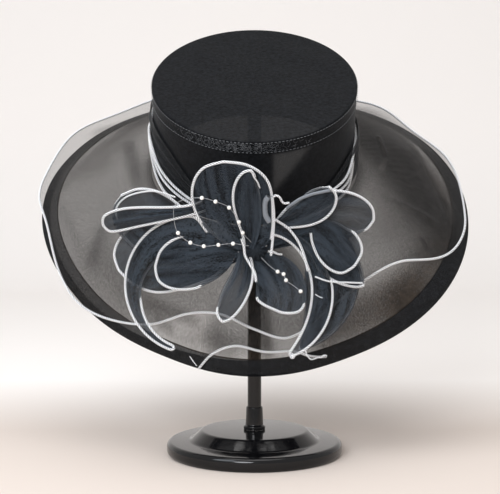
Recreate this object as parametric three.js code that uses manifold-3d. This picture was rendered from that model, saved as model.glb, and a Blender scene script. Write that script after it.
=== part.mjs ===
// Wide-brimmed summer hat of sheer black organza with a corded bow, on a plain round display stand.
// Millimetres, +Z up. The front of the hat looks along -Y.
// The origin is the middle of the stand's underside.
import * as THREE from 'three';
import { mergeVertices } from 'three/addons/utils/BufferGeometryUtils.js';
import Module from 'manifold-3d';

const wasm = await Module();
wasm.setup();

// Crown: an oval drum that leans forward on the stand. Its tip slopes a little more than its foot,
// so the crown is lower than CROWN_HEIGHT by CROWN_SLOPE in front and higher by as much behind.
const CROWN_HALF_WIDTH = 91.5;
const CROWN_HALF_DEPTH = 94;
const CROWN_HEIGHT = 90;
const CROWN_SLOPE = 4;
const CROWN_WALL = 1.5;
const CROWN_SIDES = 44;
const HAT_TILT = THREE.MathUtils.degToRad(33);
const TIP_HEIGHT = 334;
const GAP = 0.3;

// Brim: width from the head seam to the edge, and how it droops round the hat.
const BRIM_WIDTH = 124;
const BRIM_FRONT_EXTRA = 10;
const BRIM_CLOTH = 1.2;
const BRIM_CURL = 0.7;
const BRIM_COLUMNS = 54;
const EDGE_BAND_WIDTH = 17.5;
const EDGE_BAND_SIDE_EXTRA = 1.5;
const EDGE_BAND_CLOTH = 1.8;
// Azimuth in degrees from the front, towards the wearer's left (+X), and the droop of the edge in degrees.
const BRIM_DROOP = [
  { azimuth: 0, droop: 53 },
  { azimuth: 30, droop: 54 },
  { azimuth: 60, droop: 35 },
  { azimuth: 90, droop: 25 },
  { azimuth: 120, droop: 20 },
  { azimuth: 150, droop: 20 },
  { azimuth: 180, droop: 23 },
  { azimuth: 210, droop: 21 },
  { azimuth: 240, droop: 21 },
  { azimuth: 270, droop: 26 },
  { azimuth: 300, droop: 45 },
  { azimuth: 330, droop: 58 },
];

// Flounce: a soft layer over the brim with a corded, waving edge.
const FLOUNCE_CLOTH = 1;
const FLOUNCE_START = 5;
const FLOUNCE_BASE_LIFT = 3;
const FLOUNCE_EDGE_LIFT = 10;
const FLOUNCE_RIPPLE = 2;
const FLOUNCE_RIPPLES = 11;
const FLOUNCE_COLUMNS = 60;
// Reach of the edge from the head seam, measured along the brim.
const FLOUNCE_REACH = [
  { azimuth: 0, reach: 89 },
  { azimuth: 10, reach: 97 },
  { azimuth: 25, reach: 80 },
  { azimuth: 39, reach: 70 },
  { azimuth: 53, reach: 77 },
  { azimuth: 66, reach: 105 },
  { azimuth: 76, reach: 112 },
  { azimuth: 90, reach: 112 },
  { azimuth: 104, reach: 108 },
  { azimuth: 124, reach: 101 },
  { azimuth: 142, reach: 109 },
  { azimuth: 155, reach: 120 },
  { azimuth: 180, reach: 124 },
  { azimuth: 205, reach: 125 },
  { azimuth: 222, reach: 137 },
  { azimuth: 235, reach: 130 },
  { azimuth: 253, reach: 124 },
  { azimuth: 267, reach: 118 },
  { azimuth: 278, reach: 112 },
  { azimuth: 292, reach: 121 },
  { azimuth: 303, reach: 123 },
  { azimuth: 314, reach: 116 },
  { azimuth: 326, reach: 102 },
  { azimuth: 338, reach: 82 },
  { azimuth: 349, reach: 78 },
];

// Under flounce: a short second layer that shows its corded edge below the bow.
const UNDER_FLOUNCE_START = 62;
const UNDER_FLOUNCE_LIFT = 3;
const UNDER_FLOUNCE_FROM = -17;
const UNDER_FLOUNCE_TO = 22;
const UNDER_FLOUNCE_COLUMNS = 12;
const UNDER_FLOUNCE_REACH = [
  { azimuth: -17, reach: 131 },
  { azimuth: -14, reach: 118 },
  { azimuth: -10, reach: 109 },
  { azimuth: -5, reach: 105 },
  { azimuth: 3, reach: 110 },
  { azimuth: 12, reach: 112 },
  { azimuth: 17, reach: 119 },
  { azimuth: 22, reach: 123 },
];

// Hat band: a folded swathe round the crown, higher on one side, with three cords laid over it.
const HAT_BAND_CLOTH = 1.4;
const HAT_BAND_FOOT = 4;
const HAT_BAND_FOLD = 0.9;
const HAT_BAND_FOLDS = 2;
const HAT_BAND_COLUMNS = 36;
const BAND_CORD_OFFSET = 4.6;
const BAND_CORD_STEPS = 22;
const HAT_BAND_TOP = [
  { azimuth: 0, height: 13 },
  { azimuth: 25, height: 17 },
  { azimuth: 45, height: 26 },
  { azimuth: 66, height: 40 },
  { azimuth: 90, height: 45 },
  { azimuth: 130, height: 50 },
  { azimuth: 180, height: 56 },
  { azimuth: 240, height: 62 },
  { azimuth: 280, height: 63 },
  { azimuth: 306, height: 54 },
  { azimuth: 325, height: 33 },
  { azimuth: 342, height: 18 },
];
// Each cord runs from the bow round the back of the crown to the bow again.
const BAND_CORDS = [
  {
    name: 'hat_band_cord_low',
    route: [
      { azimuth: 47, height: 6 },
      { azimuth: 57, height: 7 },
      { azimuth: 62, height: 11 },
      { azimuth: 66, height: 19 },
      { azimuth: 80, height: 28 },
      { azimuth: 110, height: 34 },
      { azimuth: 180, height: 42 },
      { azimuth: 230, height: 48 },
      { azimuth: 262, height: 49 },
      { azimuth: 276, height: 42 },
      { azimuth: 285, height: 29 },
      { azimuth: 292, height: 17 },
      { azimuth: 301, height: 10 },
      { azimuth: 314, height: 6 },
    ],
  },
  {
    name: 'hat_band_cord_middle',
    route: [
      { azimuth: 50, height: 14 },
      { azimuth: 60, height: 16 },
      { azimuth: 67, height: 24 },
      { azimuth: 80, height: 32 },
      { azimuth: 110, height: 38 },
      { azimuth: 180, height: 46 },
      { azimuth: 230, height: 52 },
      { azimuth: 262, height: 53 },
      { azimuth: 276, height: 46 },
      { azimuth: 288, height: 36 },
      { azimuth: 296, height: 25 },
      { azimuth: 306, height: 19 },
      { azimuth: 327, height: 13 },
    ],
  },
  {
    name: 'hat_band_cord_high',
    route: [
      { azimuth: 44, height: 20 },
      { azimuth: 58, height: 23 },
      { azimuth: 67, height: 34 },
      { azimuth: 80, height: 37 },
      { azimuth: 110, height: 42 },
      { azimuth: 180, height: 50 },
      { azimuth: 230, height: 56 },
      { azimuth: 262, height: 57 },
      { azimuth: 276, height: 50 },
      { azimuth: 288, height: 41 },
      { azimuth: 297, height: 31 },
      { azimuth: 308, height: 25 },
      { azimuth: 327, height: 17 },
    ],
  },
];

// Cord: the white piping on every edge.
const CORD_RADIUS = 1;
const CORD_SIDES = 5;

// Bow: loops and tails of corded organza gathered in one knot, each on its own level in front of the hat.
const KNOT = { x: 0, y: -67, z: 190, halfWidth: 13, halfDepth: 19, halfHeight: 12 };
const BOW_BACK = 64;
const BOW_WAIST_HEIGHT = 5;
const BOW_WAIST_SIZE = 20;
const BOW_LEAN = 0.36;
const BOW_TILT = 0.05;
const BOW_SWEEP = 16;
const BOW_SWEEP_WIDTH = 60;
const BOW_CLOTH = 1;
const BOW_LEVEL_STEP = 3;
const BOW_LEVEL_SPREAD = 0.03;
const LOOP_CUP = 1.6;
const LOOP_ROWS = 7;
const LOOP_COLUMNS = 2;
const LOOP_INSET = 2.3;
const LOOP_INSET_SHARE = 0.024;
const LOOP_TIP_INSET = 4.4;
const LOOP_LEAST_HALF_WIDTH = 0.5;
const STALK_HALF_WIDTH = 4;
const TIP_ROUNDING = 3.5;
const SPINE_STEPS = 40;
// Root is the place where a loop leaves the knot's stalk, from the knot; heading and turns are in degrees
// in the front view; fullness moves the widest place outwards and taper points the tip.
const BOW_LOOPS = [
  { name: 'bow_tail_right_back', level: 0, rootX: 56, rootZ: 11, heading: -56, turn: -107, hook: 27,
    length: 105, width: 44, fullness: 0.60, taper: 0.95, endWidth: 3 },
  { name: 'bow_loop_left_low_back', level: 0, rootX: -26, rootZ: -14, heading: 165, turn: 14, hook: 36,
    length: 94, width: 60, fullness: 0.75, taper: 0.49, endWidth: 0 },
  { name: 'bow_tail_left', level: 1, rootX: -41, rootZ: 10, heading: 164, turn: 180, hook: 0,
    length: 152, width: 23, fullness: 0.25, taper: 1.5, endWidth: 4 },
  { name: 'bow_tail_centre', level: 1, rootX: 17, rootZ: 16, heading: -16, turn: -141, hook: 10,
    length: 131, width: 15, fullness: 1.6, taper: 1, endWidth: 3 },
  { name: 'bow_loop_left_high', level: 2, rootX: -31, rootZ: 4, heading: 183, turn: -63, hook: 5,
    length: 94, width: 53, fullness: 0.89, taper: 0.49, endWidth: 0 },
  { name: 'bow_tail_right', level: 2, rootX: 48, rootZ: 8, heading: -38, turn: -14, hook: 8,
    length: 59, width: 29, fullness: 0.78, taper: 0.87, endWidth: 3 },
  { name: 'bow_loop_right_high_back', level: 3, rootX: 19, rootZ: 9, heading: 36, turn: -49, hook: -4,
    length: 85, width: 42, fullness: 0.66, taper: 0.52, endWidth: 0 },
  { name: 'bow_loop_left_low', level: 3, rootX: -17, rootZ: -4, heading: 177, turn: 80, hook: -82,
    length: 68, width: 43, fullness: 0.6, taper: 0.43, endWidth: 0 },
  { name: 'bow_loop_right_low', level: 3, rootX: -1, rootZ: -7, heading: -27, turn: -61, hook: -18,
    length: 55, width: 42, fullness: 0.91, taper: 0.41, endWidth: 0 },
  { name: 'bow_loop_left_narrow', level: 4, rootX: -42, rootZ: 36, heading: 201, turn: -63, hook: 65,
    length: 87, width: 17, fullness: 1.50, taper: 0.32, endWidth: 0 },
  { name: 'bow_loop_right_middle', level: 4, rootX: 48, rootZ: 17, heading: -18, turn: -91, hook: 66,
    length: 48, width: 35, fullness: 0.68, taper: 0.4, endWidth: 0 },
  { name: 'bow_loop_centre_low', level: 4, rootX: -11, rootZ: -2, heading: -68, turn: -154, hook: 120,
    length: 61, width: 20, fullness: 1.03, taper: 0.6, endWidth: 0 },
  { name: 'bow_loop_right_high', level: 5, rootX: 19, rootZ: 20, heading: 28, turn: -33, hook: 77,
    length: 54, width: 26, fullness: 1.3, taper: 0.6, endWidth: 0 },
  { name: 'bow_loop_top', level: 6, rootX: 11, rootZ: 5, heading: 145, turn: -56, hook: 4,
    length: 79, width: 63, fullness: 0.74, taper: 0.45, endWidth: 0 },
  { name: 'bow_loop_centre_high', level: 7, rootX: -5, rootZ: 1, heading: 74, turn: 103, hook: -111,
    length: 65, width: 22, fullness: 1.18, taper: 0.65, endWidth: 0 },
];

// Bead stems: pearls threaded on fine wire that springs out of the knot. Places are from the knot,
// and a pearl sits on each place of the wire that the list of pearls counts, the root being 0.
const PEARL_RADIUS = 1.7;
const PEARL_SIDES = 10;
const PEARL_ROWS = 4;
const WIRE_RADIUS = 0.5;
const BEAD_STEMS = [
  {
    name: 'bead_stem_left',
    level: 8,
    pearls: [1, 2, 3, 4, 5, 9, 10, 11, 12, 13],
    wire: [[-3, 6], [-10, 14], [-13, 23], [-21, 35], [-32, 40], [-43, 43], [-56, 42], [-65, 37], [-66, 26],
      [-63, 14], [-53, 6], [-42, 3], [-30, 4], [-18, 5], [-5, 3]],
  },
  {
    name: 'bead_stem_right',
    level: 4,
    pearls: [2, 3, 4, 6],
    wire: [[5, -7], [12, -14], [19, -19], [24, -21], [26, -26], [33, -31], [38, -35]],
  },
];

// Stand: a stepped round foot, a sleeve and a post with a slanted rest inside the crown.
const BASE_RADIUS = 79;
const BASE_HEIGHT = 12.5;
const PLATEAU_FOOT_RADIUS = 58;
const PLATEAU_RADIUS = 48;
const PLATEAU_HEIGHT = 22;
const BASE_SIDES = 36;
const SLEEVE_FOOT_RADIUS = 9.75;
const SLEEVE_RADIUS = 8;
const SLEEVE_TOP_RADIUS = 7.4;
const SLEEVE_HEIGHT = 20;
const SLEEVE_FOOT_HEIGHT = 3;
const POST_RADIUS = 6.2;
const POST_SIDES = 20;
const REST_RADIUS = 42;
const REST_THICKNESS = 5;
const REST_SIDES = 28;

// Colours of the real materials.
const COLOURS = {
  organza: { color: 0x17191d, roughness: 0.7, metalness: 0 },
  crownCloth: { color: 0x101216, roughness: 0.65, metalness: 0 },
  cord: { color: 0xe9ecf0, roughness: 0.6, metalness: 0 },
  pearl: { color: 0xf4f1ea, roughness: 0.25, metalness: 0 },
  stand: { color: 0x0d0d0f, roughness: 0.2, metalness: 0 },
};

function material(kind) {
  return new THREE.MeshStandardMaterial(COLOURS[kind]);
}

// Geometry helpers.
function positionsOnly(geometry) {
  const plain = geometry.clone();
  plain.deleteAttribute('normal');
  plain.deleteAttribute('uv');
  return mergeVertices(plain, 1e-4);
}

function signedVolume(geometry) {
  const place = geometry.attributes.position;
  const index = geometry.index.array;
  const corners = [new THREE.Vector3(), new THREE.Vector3(), new THREE.Vector3()];
  let total = 0;
  for (let i = 0; i < index.length; i += 3) {
    corners.forEach((corner, k) => corner.fromBufferAttribute(place, index[i + k]));
    total += corners[0].dot(corners[1].clone().cross(corners[2])) / 6;
  }
  return total;
}

// Merges shared corners and turns the faces outwards.
function closedBody(geometry) {
  const body = positionsOnly(geometry);
  if (signedVolume(body) < 0) {
    const index = body.index.array;
    for (let i = 0; i < index.length; i += 3) {
      [index[i + 1], index[i + 2]] = [index[i + 2], index[i + 1]];
    }
  }
  return body;
}

function toSolid(geometry) {
  const body = closedBody(geometry);
  return new wasm.Manifold(new wasm.Mesh({
    numProp: 3,
    vertProperties: new Float32Array(body.attributes.position.array),
    triVerts: new Uint32Array(body.index.array),
  }));
}

function toGeometry(solid) {
  const mesh = solid.getMesh();
  const geometry = new THREE.BufferGeometry();
  geometry.setAttribute('position', new THREE.BufferAttribute(new Float32Array(mesh.vertProperties), 3));
  geometry.setIndex(new THREE.BufferAttribute(new Uint32Array(mesh.triVerts), 1));
  return geometry;
}

// What is left of a piece outside its neighbour, without loose crumbs.
function largestBody(solid) {
  const bodies = solid.decompose();
  bodies.sort((a, b) => b.volume() - a.volume());
  return toGeometry(bodies[0]);
}

function namedMesh(name, geometry, kind) {
  const shown = geometry.clone();
  shown.computeVertexNormals();
  const mesh = new THREE.Mesh(shown, material(kind));
  mesh.name = name;
  return mesh;
}

// A sheet of cloth: rows of points thickened evenly to both sides, with its rim closed.
function clothSheet(pointAt, columns, rows, thickness, closedRing) {
  const across = closedRing ? columns : columns + 1;
  const points = [];
  for (let j = 0; j <= rows; j += 1) {
    for (let i = 0; i < across; i += 1) {
      points.push(pointAt(i / columns, j / rows));
    }
  }
  const at = (i, j) => j * across + (closedRing ? (i + across) % across : i);
  const front = [];
  for (let j = 0; j < rows; j += 1) {
    for (let i = 0; i < columns; i += 1) {
      front.push([at(i, j), at(i + 1, j), at(i + 1, j + 1)]);
      front.push([at(i, j), at(i + 1, j + 1), at(i, j + 1)]);
    }
  }
  const normals = points.map(() => new THREE.Vector3());
  for (const [a, b, c] of front) {
    const side = points[b].clone().sub(points[a]);
    const face = side.cross(points[c].clone().sub(points[a])).normalize();
    [a, b, c].forEach((k) => normals[k].add(face));
  }
  const edges = new Set(front.flatMap(([a, b, c]) => [`${a} ${b}`, `${b} ${c}`, `${c} ${a}`]));
  const count = points.length;
  const faces = [...front];
  for (const [a, b, c] of front) {
    faces.push([c + count, b + count, a + count]);
    for (const [from, to] of [[a, b], [b, c], [c, a]]) {
      if (!edges.has(`${to} ${from}`)) {
        faces.push([to, from, from + count], [to, from + count, to + count]);
      }
    }
  }
  const places = [];
  for (const side of [0.5, -0.5]) {
    points.forEach((point, k) => {
      places.push(...point.clone().addScaledVector(normals[k].normalize(), side * thickness).toArray());
    });
  }
  const geometry = new THREE.BufferGeometry();
  geometry.setAttribute('position', new THREE.Float32BufferAttribute(places, 3));
  geometry.setIndex(faces.flat());
  return closedBody(geometry);
}

// A route that keeps its own stations, so that tight turns keep their points.
class StationRoute extends THREE.CatmullRomCurve3 {
  getPointAt(u, target) {
    return this.getPoint(u, target);
  }

  getTangentAt(u, target) {
    return this.getTangent(u, target);
  }

  getSpacedPoints(divisions) {
    return this.getPoints(divisions);
  }
}

function cordSection(radius) {
  const section = new THREE.Shape();
  for (let k = 0; k < CORD_SIDES; k += 1) {
    const turn = (k / CORD_SIDES) * 2 * Math.PI;
    const corner = [radius * Math.cos(turn), radius * Math.sin(turn)];
    if (k === 0) {
      section.moveTo(...corner);
    } else {
      section.lineTo(...corner);
    }
  }
  section.closePath();
  return section;
}

function openCord(stations, radius) {
  const route = new StationRoute(stations);
  return closedBody(new THREE.ExtrudeGeometry(cordSection(radius), {
    steps: stations.length - 1,
    extrudePath: route,
    bevelEnabled: false,
  }));
}

function closedCord(stations, radius) {
  const route = new StationRoute(stations, true);
  return closedBody(new THREE.TubeGeometry(route, stations.length, radius, CORD_SIDES, true));
}

// A turned piece: a profile of radius and height, made oval by the two half sizes.
function turned(profile, sides, widthScale = 1, depthScale = 1) {
  const outline = profile.map(([radius, height]) => new THREE.Vector2(radius, height));
  const geometry = new THREE.LatheGeometry(outline, sides);
  geometry.rotateX(Math.PI / 2);
  geometry.scale(widthScale, depthScale, 1);
  return closedBody(geometry);
}

// Reads a table at any azimuth along a smooth curve through its rows. A ring table repeats after a turn.
function readTable(rows, key, azimuth, ring = true) {
  const count = rows.length;
  const row = (i) => {
    if (!ring) {
      return rows[Math.min(Math.max(i, 0), count - 1)];
    }
    const wrapped = rows[((i % count) + count) % count];
    return { azimuth: wrapped.azimuth + 360 * Math.floor(i / count), [key]: wrapped[key] };
  };
  const first = rows[0].azimuth;
  const angle = ring ? THREE.MathUtils.euclideanModulo(azimuth - first, 360) + first : azimuth;
  let i = 0;
  while (i < count - (ring ? 1 : 2) && row(i + 1).azimuth <= angle) {
    i += 1;
  }
  const [before, start, end, after] = [row(i - 1), row(i), row(i + 1), row(i + 2)];
  const span = end.azimuth - start.azimuth;
  const slope = (a, b) => (b.azimuth > a.azimuth ? (b[key] - a[key]) / (b.azimuth - a.azimuth) : 0);
  const t = THREE.MathUtils.clamp((angle - start.azimuth) / span, 0, 1);
  const startPull = slope(before, end) * span;
  const endPull = slope(start, after) * span;
  const rise = t * t * (3 - 2 * t);
  return start[key] * (1 - rise) + end[key] * rise
    + startPull * t * (1 - t) * (1 - t) - endPull * t * t * (1 - t);
}

// The head seam oval, then the brim's curve outwards from it, with a lift off its surface.
function seamPoint(azimuth, offset, height) {
  const angle = THREE.MathUtils.degToRad(azimuth);
  const x = (CROWN_HALF_WIDTH + offset) * Math.sin(angle);
  const y = -(CROWN_HALF_DEPTH + offset) * Math.cos(angle);
  return new THREE.Vector3(x, y, height);
}

function brimWidth(azimuth) {
  return BRIM_WIDTH + BRIM_FRONT_EXTRA * Math.cos(THREE.MathUtils.degToRad(azimuth));
}

function edgeBandWidth(azimuth) {
  const turn = THREE.MathUtils.degToRad(azimuth);
  return EDGE_BAND_WIDTH - EDGE_BAND_SIDE_EXTRA * Math.cos(2 * turn);
}

function brimPoint(azimuth, reach, lift) {
  const angle = THREE.MathUtils.degToRad(azimuth);
  const droop = THREE.MathUtils.degToRad(readTable(BRIM_DROOP, 'droop', azimuth));
  const start = droop * (1 - BRIM_CURL / 2);
  const bend = (droop * BRIM_CURL) / brimWidth(azimuth);
  const slope = start + bend * reach;
  const run = (Math.sin(slope) - Math.sin(start)) / bend + lift * Math.sin(slope);
  const drop = (Math.cos(start) - Math.cos(slope)) / bend - lift * Math.cos(slope);
  const out = new THREE.Vector2(Math.sin(angle) / CROWN_HALF_WIDTH, -Math.cos(angle) / CROWN_HALF_DEPTH);
  out.normalize();
  const seam = seamPoint(azimuth, 0, 0);
  return new THREE.Vector3(seam.x + out.x * run, seam.y + out.y * run, -drop);
}

// Heights in the crown grow towards the back, in proportion to how high they are over the head seam.
function slopedCrown(geometry) {
  const place = geometry.attributes.position;
  for (let i = 0; i < place.count; i += 1) {
    const share = (CROWN_SLOPE * place.getY(i)) / (CROWN_HALF_DEPTH * CROWN_HEIGHT);
    place.setZ(i, place.getZ(i) * (1 + share));
  }
  return geometry;
}

// Stand.
function makeStand() {
  const base = turned([
    [0, 0],
    [BASE_RADIUS - 2, 0],
    [BASE_RADIUS, 3],
    [BASE_RADIUS, BASE_HEIGHT - 3],
    [BASE_RADIUS - 2.5, BASE_HEIGHT],
    [PLATEAU_FOOT_RADIUS, BASE_HEIGHT + 0.3],
    [PLATEAU_RADIUS, PLATEAU_HEIGHT],
    [0, PLATEAU_HEIGHT],
  ], BASE_SIDES);
  const foot = PLATEAU_HEIGHT + GAP;
  const sleeve = turned([
    [POST_RADIUS + GAP, foot],
    [SLEEVE_FOOT_RADIUS, foot],
    [SLEEVE_FOOT_RADIUS, foot + SLEEVE_FOOT_HEIGHT],
    [SLEEVE_RADIUS, foot + SLEEVE_FOOT_HEIGHT + 1],
    [SLEEVE_TOP_RADIUS, foot + SLEEVE_HEIGHT],
    [POST_RADIUS + GAP, foot + SLEEVE_HEIGHT],
    [POST_RADIUS + GAP, foot],
  ], POST_SIDES);
  const stand = new THREE.Group();
  stand.add(namedMesh('stand_base', base, 'stand'));
  stand.add(namedMesh('stand_sleeve', sleeve, 'stand'));
  stand.add(namedMesh('stand_post', makePost(foot), 'stand'));
  return stand;
}

// The post ends in a slanted round rest, parallel to the crown's tip and just under it.
function makePost(foot) {
  const toHat = hatPlacement();
  const restTop = CROWN_HEIGHT - CROWN_WALL - 2 * GAP;
  const post = new THREE.CylinderGeometry(POST_RADIUS, POST_RADIUS, TIP_HEIGHT - foot, POST_SIDES);
  post.rotateX(Math.PI / 2);
  post.translate(0, 0, (TIP_HEIGHT + foot) / 2);
  const underTip = new THREE.BoxGeometry(4 * POST_RADIUS, 4 * POST_RADIUS, CROWN_HEIGHT);
  underTip.translate(0, 0, CROWN_HEIGHT / 2 + restTop - REST_THICKNESS / 2);
  underTip.applyMatrix4(toHat);
  const rest = new THREE.CylinderGeometry(REST_RADIUS, REST_RADIUS - 2, REST_THICKNESS, REST_SIDES);
  rest.rotateX(Math.PI / 2);
  rest.translate(0, 0, restTop - REST_THICKNESS / 2);
  slopedCrown(rest).applyMatrix4(toHat);
  return toGeometry(toSolid(post).subtract(toSolid(underTip)).add(toSolid(rest)));
}

// Hat. Its own frame has the head seam's middle as origin and the crown's axis along +Z.
function hatPlacement() {
  const seamY = CROWN_HEIGHT * Math.sin(HAT_TILT);
  const seamZ = TIP_HEIGHT - CROWN_HEIGHT * Math.cos(HAT_TILT);
  return new THREE.Matrix4().makeTranslation(0, seamY, seamZ)
    .multiply(new THREE.Matrix4().makeRotationX(HAT_TILT));
}

function makeCrown() {
  const depthScale = CROWN_HALF_DEPTH / CROWN_HALF_WIDTH;
  const outer = CROWN_HALF_WIDTH;
  const inner = CROWN_HALF_WIDTH - CROWN_WALL;
  const tipFoot = CROWN_HEIGHT - CROWN_WALL;
  const side = turned([
    [inner, 0],
    [outer, 0],
    [outer, tipFoot - GAP],
    [inner, tipFoot - GAP],
    [inner, 0],
  ], CROWN_SIDES, 1, depthScale);
  const tip = turned([
    [0, tipFoot],
    [outer, tipFoot],
    [outer, CROWN_HEIGHT - 0.5],
    [outer - 1.5, CROWN_HEIGHT],
    [0, CROWN_HEIGHT],
  ], CROWN_SIDES, 1, depthScale);
  return [
    namedMesh('crown_side', slopedCrown(side), 'crownCloth'),
    namedMesh('crown_tip', slopedCrown(tip), 'crownCloth'),
  ];
}

function makeBrim() {
  const cloth = clothSheet((u, v) => {
    const azimuth = 360 * u;
    const end = brimWidth(azimuth) - edgeBandWidth(azimuth) - GAP;
    return brimPoint(azimuth, GAP + (end - GAP) * v, 0);
  }, BRIM_COLUMNS, 3, BRIM_CLOTH, true);
  const band = clothSheet((u, v) => {
    const azimuth = 360 * u;
    return brimPoint(azimuth, brimWidth(azimuth) - edgeBandWidth(azimuth) * (1 - v), 0);
  }, BRIM_COLUMNS, 1, EDGE_BAND_CLOTH, true);
  return [namedMesh('brim', cloth, 'organza'), namedMesh('brim_edge_band', band, 'organza')];
}

// Lift of the flounce off the brim: low at the seam, waving at the edge.
function flounceLift(azimuth, share) {
  const wave = FLOUNCE_RIPPLE * Math.sin(THREE.MathUtils.degToRad(FLOUNCE_RIPPLES * azimuth));
  return FLOUNCE_BASE_LIFT + (FLOUNCE_EDGE_LIFT - FLOUNCE_BASE_LIFT) * share + wave * share * share;
}

function makeFlounce() {
  const edge = (azimuth) => readTable(FLOUNCE_REACH, 'reach', azimuth);
  const cloth = clothSheet((u, v) => {
    const azimuth = 360 * u;
    const end = edge(azimuth) - CORD_RADIUS - GAP;
    return brimPoint(azimuth, FLOUNCE_START + (end - FLOUNCE_START) * v, flounceLift(azimuth, v));
  }, FLOUNCE_COLUMNS, 3, FLOUNCE_CLOTH, true);
  const stations = [];
  for (let i = 0; i < FLOUNCE_COLUMNS; i += 1) {
    const azimuth = (360 * i) / FLOUNCE_COLUMNS;
    stations.push(brimPoint(azimuth, edge(azimuth) + CORD_RADIUS / 2, flounceLift(azimuth, 1)));
  }
  return [
    namedMesh('flounce', cloth, 'organza'),
    namedMesh('flounce_cord', closedCord(stations, CORD_RADIUS), 'cord'),
  ];
}

function makeUnderFlounce() {
  const columns = UNDER_FLOUNCE_COLUMNS;
  const edge = (azimuth) => readTable(UNDER_FLOUNCE_REACH, 'reach', azimuth, false);
  const azimuthAt = (u) => UNDER_FLOUNCE_FROM + (UNDER_FLOUNCE_TO - UNDER_FLOUNCE_FROM) * u;
  const cloth = clothSheet((u, v) => {
    const end = edge(azimuthAt(u)) - CORD_RADIUS - 2 * GAP;
    const reach = UNDER_FLOUNCE_START + (end - UNDER_FLOUNCE_START) * v;
    return brimPoint(azimuthAt(u), reach, UNDER_FLOUNCE_LIFT);
  }, columns, 2, FLOUNCE_CLOTH, false);
  const stations = [];
  for (let i = 0; i <= columns; i += 1) {
    const azimuth = azimuthAt(i / columns);
    stations.push(brimPoint(azimuth, edge(azimuth) + CORD_RADIUS / 2, UNDER_FLOUNCE_LIFT));
  }
  return [
    namedMesh('under_flounce', cloth, 'organza'),
    namedMesh('under_flounce_cord', openCord(stations, CORD_RADIUS), 'cord'),
  ];
}

function makeHatBand() {
  const cloth = clothSheet((u, v) => {
    const azimuth = 360 * u;
    const top = readTable(HAT_BAND_TOP, 'height', azimuth);
    const fold = HAT_BAND_FOLD * (1 - Math.cos(2 * Math.PI * HAT_BAND_FOLDS * v)) / 2;
    const offset = 2 * GAP + HAT_BAND_CLOTH / 2 + fold;
    return seamPoint(azimuth, offset, HAT_BAND_FOOT + (top - HAT_BAND_FOOT) * v);
  }, HAT_BAND_COLUMNS, 2 * HAT_BAND_FOLDS, HAT_BAND_CLOTH, true);
  const meshes = [namedMesh('hat_band', cloth, 'organza')];
  for (const { name, route } of BAND_CORDS) {
    const first = route[0].azimuth;
    const last = route[route.length - 1].azimuth;
    const stations = [];
    for (let i = 0; i <= BAND_CORD_STEPS; i += 1) {
      const azimuth = first + ((last - first) * i) / BAND_CORD_STEPS;
      stations.push(seamPoint(azimuth, BAND_CORD_OFFSET, readTable(route, 'height', azimuth, false)));
    }
    meshes.push(namedMesh(name, openCord(stations, CORD_RADIUS), 'cord'));
  }
  return meshes;
}

// Bow. Depth of a bow level in front of the hat: it follows the crown's lean and bends back at the sides.
function bowDepth(x, z, level) {
  const rise = z - KNOT.z - BOW_WAIST_HEIGHT;
  const lean = BOW_LEAN * (Math.hypot(rise, BOW_WAIST_SIZE) - BOW_WAIST_SIZE) + BOW_TILT * rise;
  const sweep = BOW_SWEEP * (Math.hypot(x / BOW_SWEEP_WIDTH, 1) - 1);
  const away = Math.hypot(x, z - KNOT.z);
  return -BOW_BACK - lean + sweep - level * (BOW_LEVEL_STEP + BOW_LEVEL_SPREAD * away);
}

// Middle line of a loop: a straight stalk from the knot to its root, then a curve with a turning heading.
function loopSpine(loop, t) {
  const steps = SPINE_STEPS;
  const place = new THREE.Vector2(KNOT.x + loop.rootX, KNOT.z + loop.rootZ);
  const heading = (s) => THREE.MathUtils.degToRad(loop.heading + loop.turn * s + loop.hook * s * s);
  for (let k = 0; k < steps; k += 1) {
    const angle = heading((t * (k + 0.5)) / steps);
    place.x += (Math.cos(angle) * loop.length * t) / steps;
    place.y += (Math.sin(angle) * loop.length * t) / steps;
  }
  const angle = heading(t);
  return { place, side: new THREE.Vector2(-Math.sin(angle), Math.cos(angle)) };
}

function loopHalfWidth(loop, t) {
  const widest = loop.fullness / (loop.fullness + loop.taper);
  const swell = (s) => s ** loop.fullness * (1 - s) ** loop.taper;
  const end = 1 - TIP_ROUNDING / loop.length;
  const rounding = t > end ? Math.sqrt(Math.max(0, 1 - ((t - end) / (1 - end)) ** 2)) : 1;
  const stalk = STALK_HALF_WIDTH * (1 - t) * (1 - t);
  const body = (loop.width / 2) * (swell(t) / swell(widest));
  const tail = (loop.endWidth / 2) * t * t;
  return (stalk + body + tail) * rounding;
}

// A point of a loop: t runs from the stalk to the tip, and side from -1 to 1 across it.
function loopPoint(loop, t, side, inset) {
  const { place, side: across } = loopSpine(loop, t);
  const half = Math.max(loopHalfWidth(loop, t) - inset, inset > 0 ? LOOP_LEAST_HALF_WIDTH : 0);
  const x = place.x + across.x * half * side;
  const z = place.y + across.y * half * side;
  const cup = LOOP_CUP * Math.sin(Math.PI * t) * (1 - side * side);
  return new THREE.Vector3(x, bowDepth(x, z, loop.level) - cup, z);
}

function stalkPoint(loop, side, halfWidth) {
  const along = new THREE.Vector2(loop.rootX, loop.rootZ).normalize();
  const x = KNOT.x - along.y * halfWidth * side;
  const z = KNOT.z + along.x * halfWidth * side;
  return new THREE.Vector3(x, bowDepth(x, z, loop.level), z);
}

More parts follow.
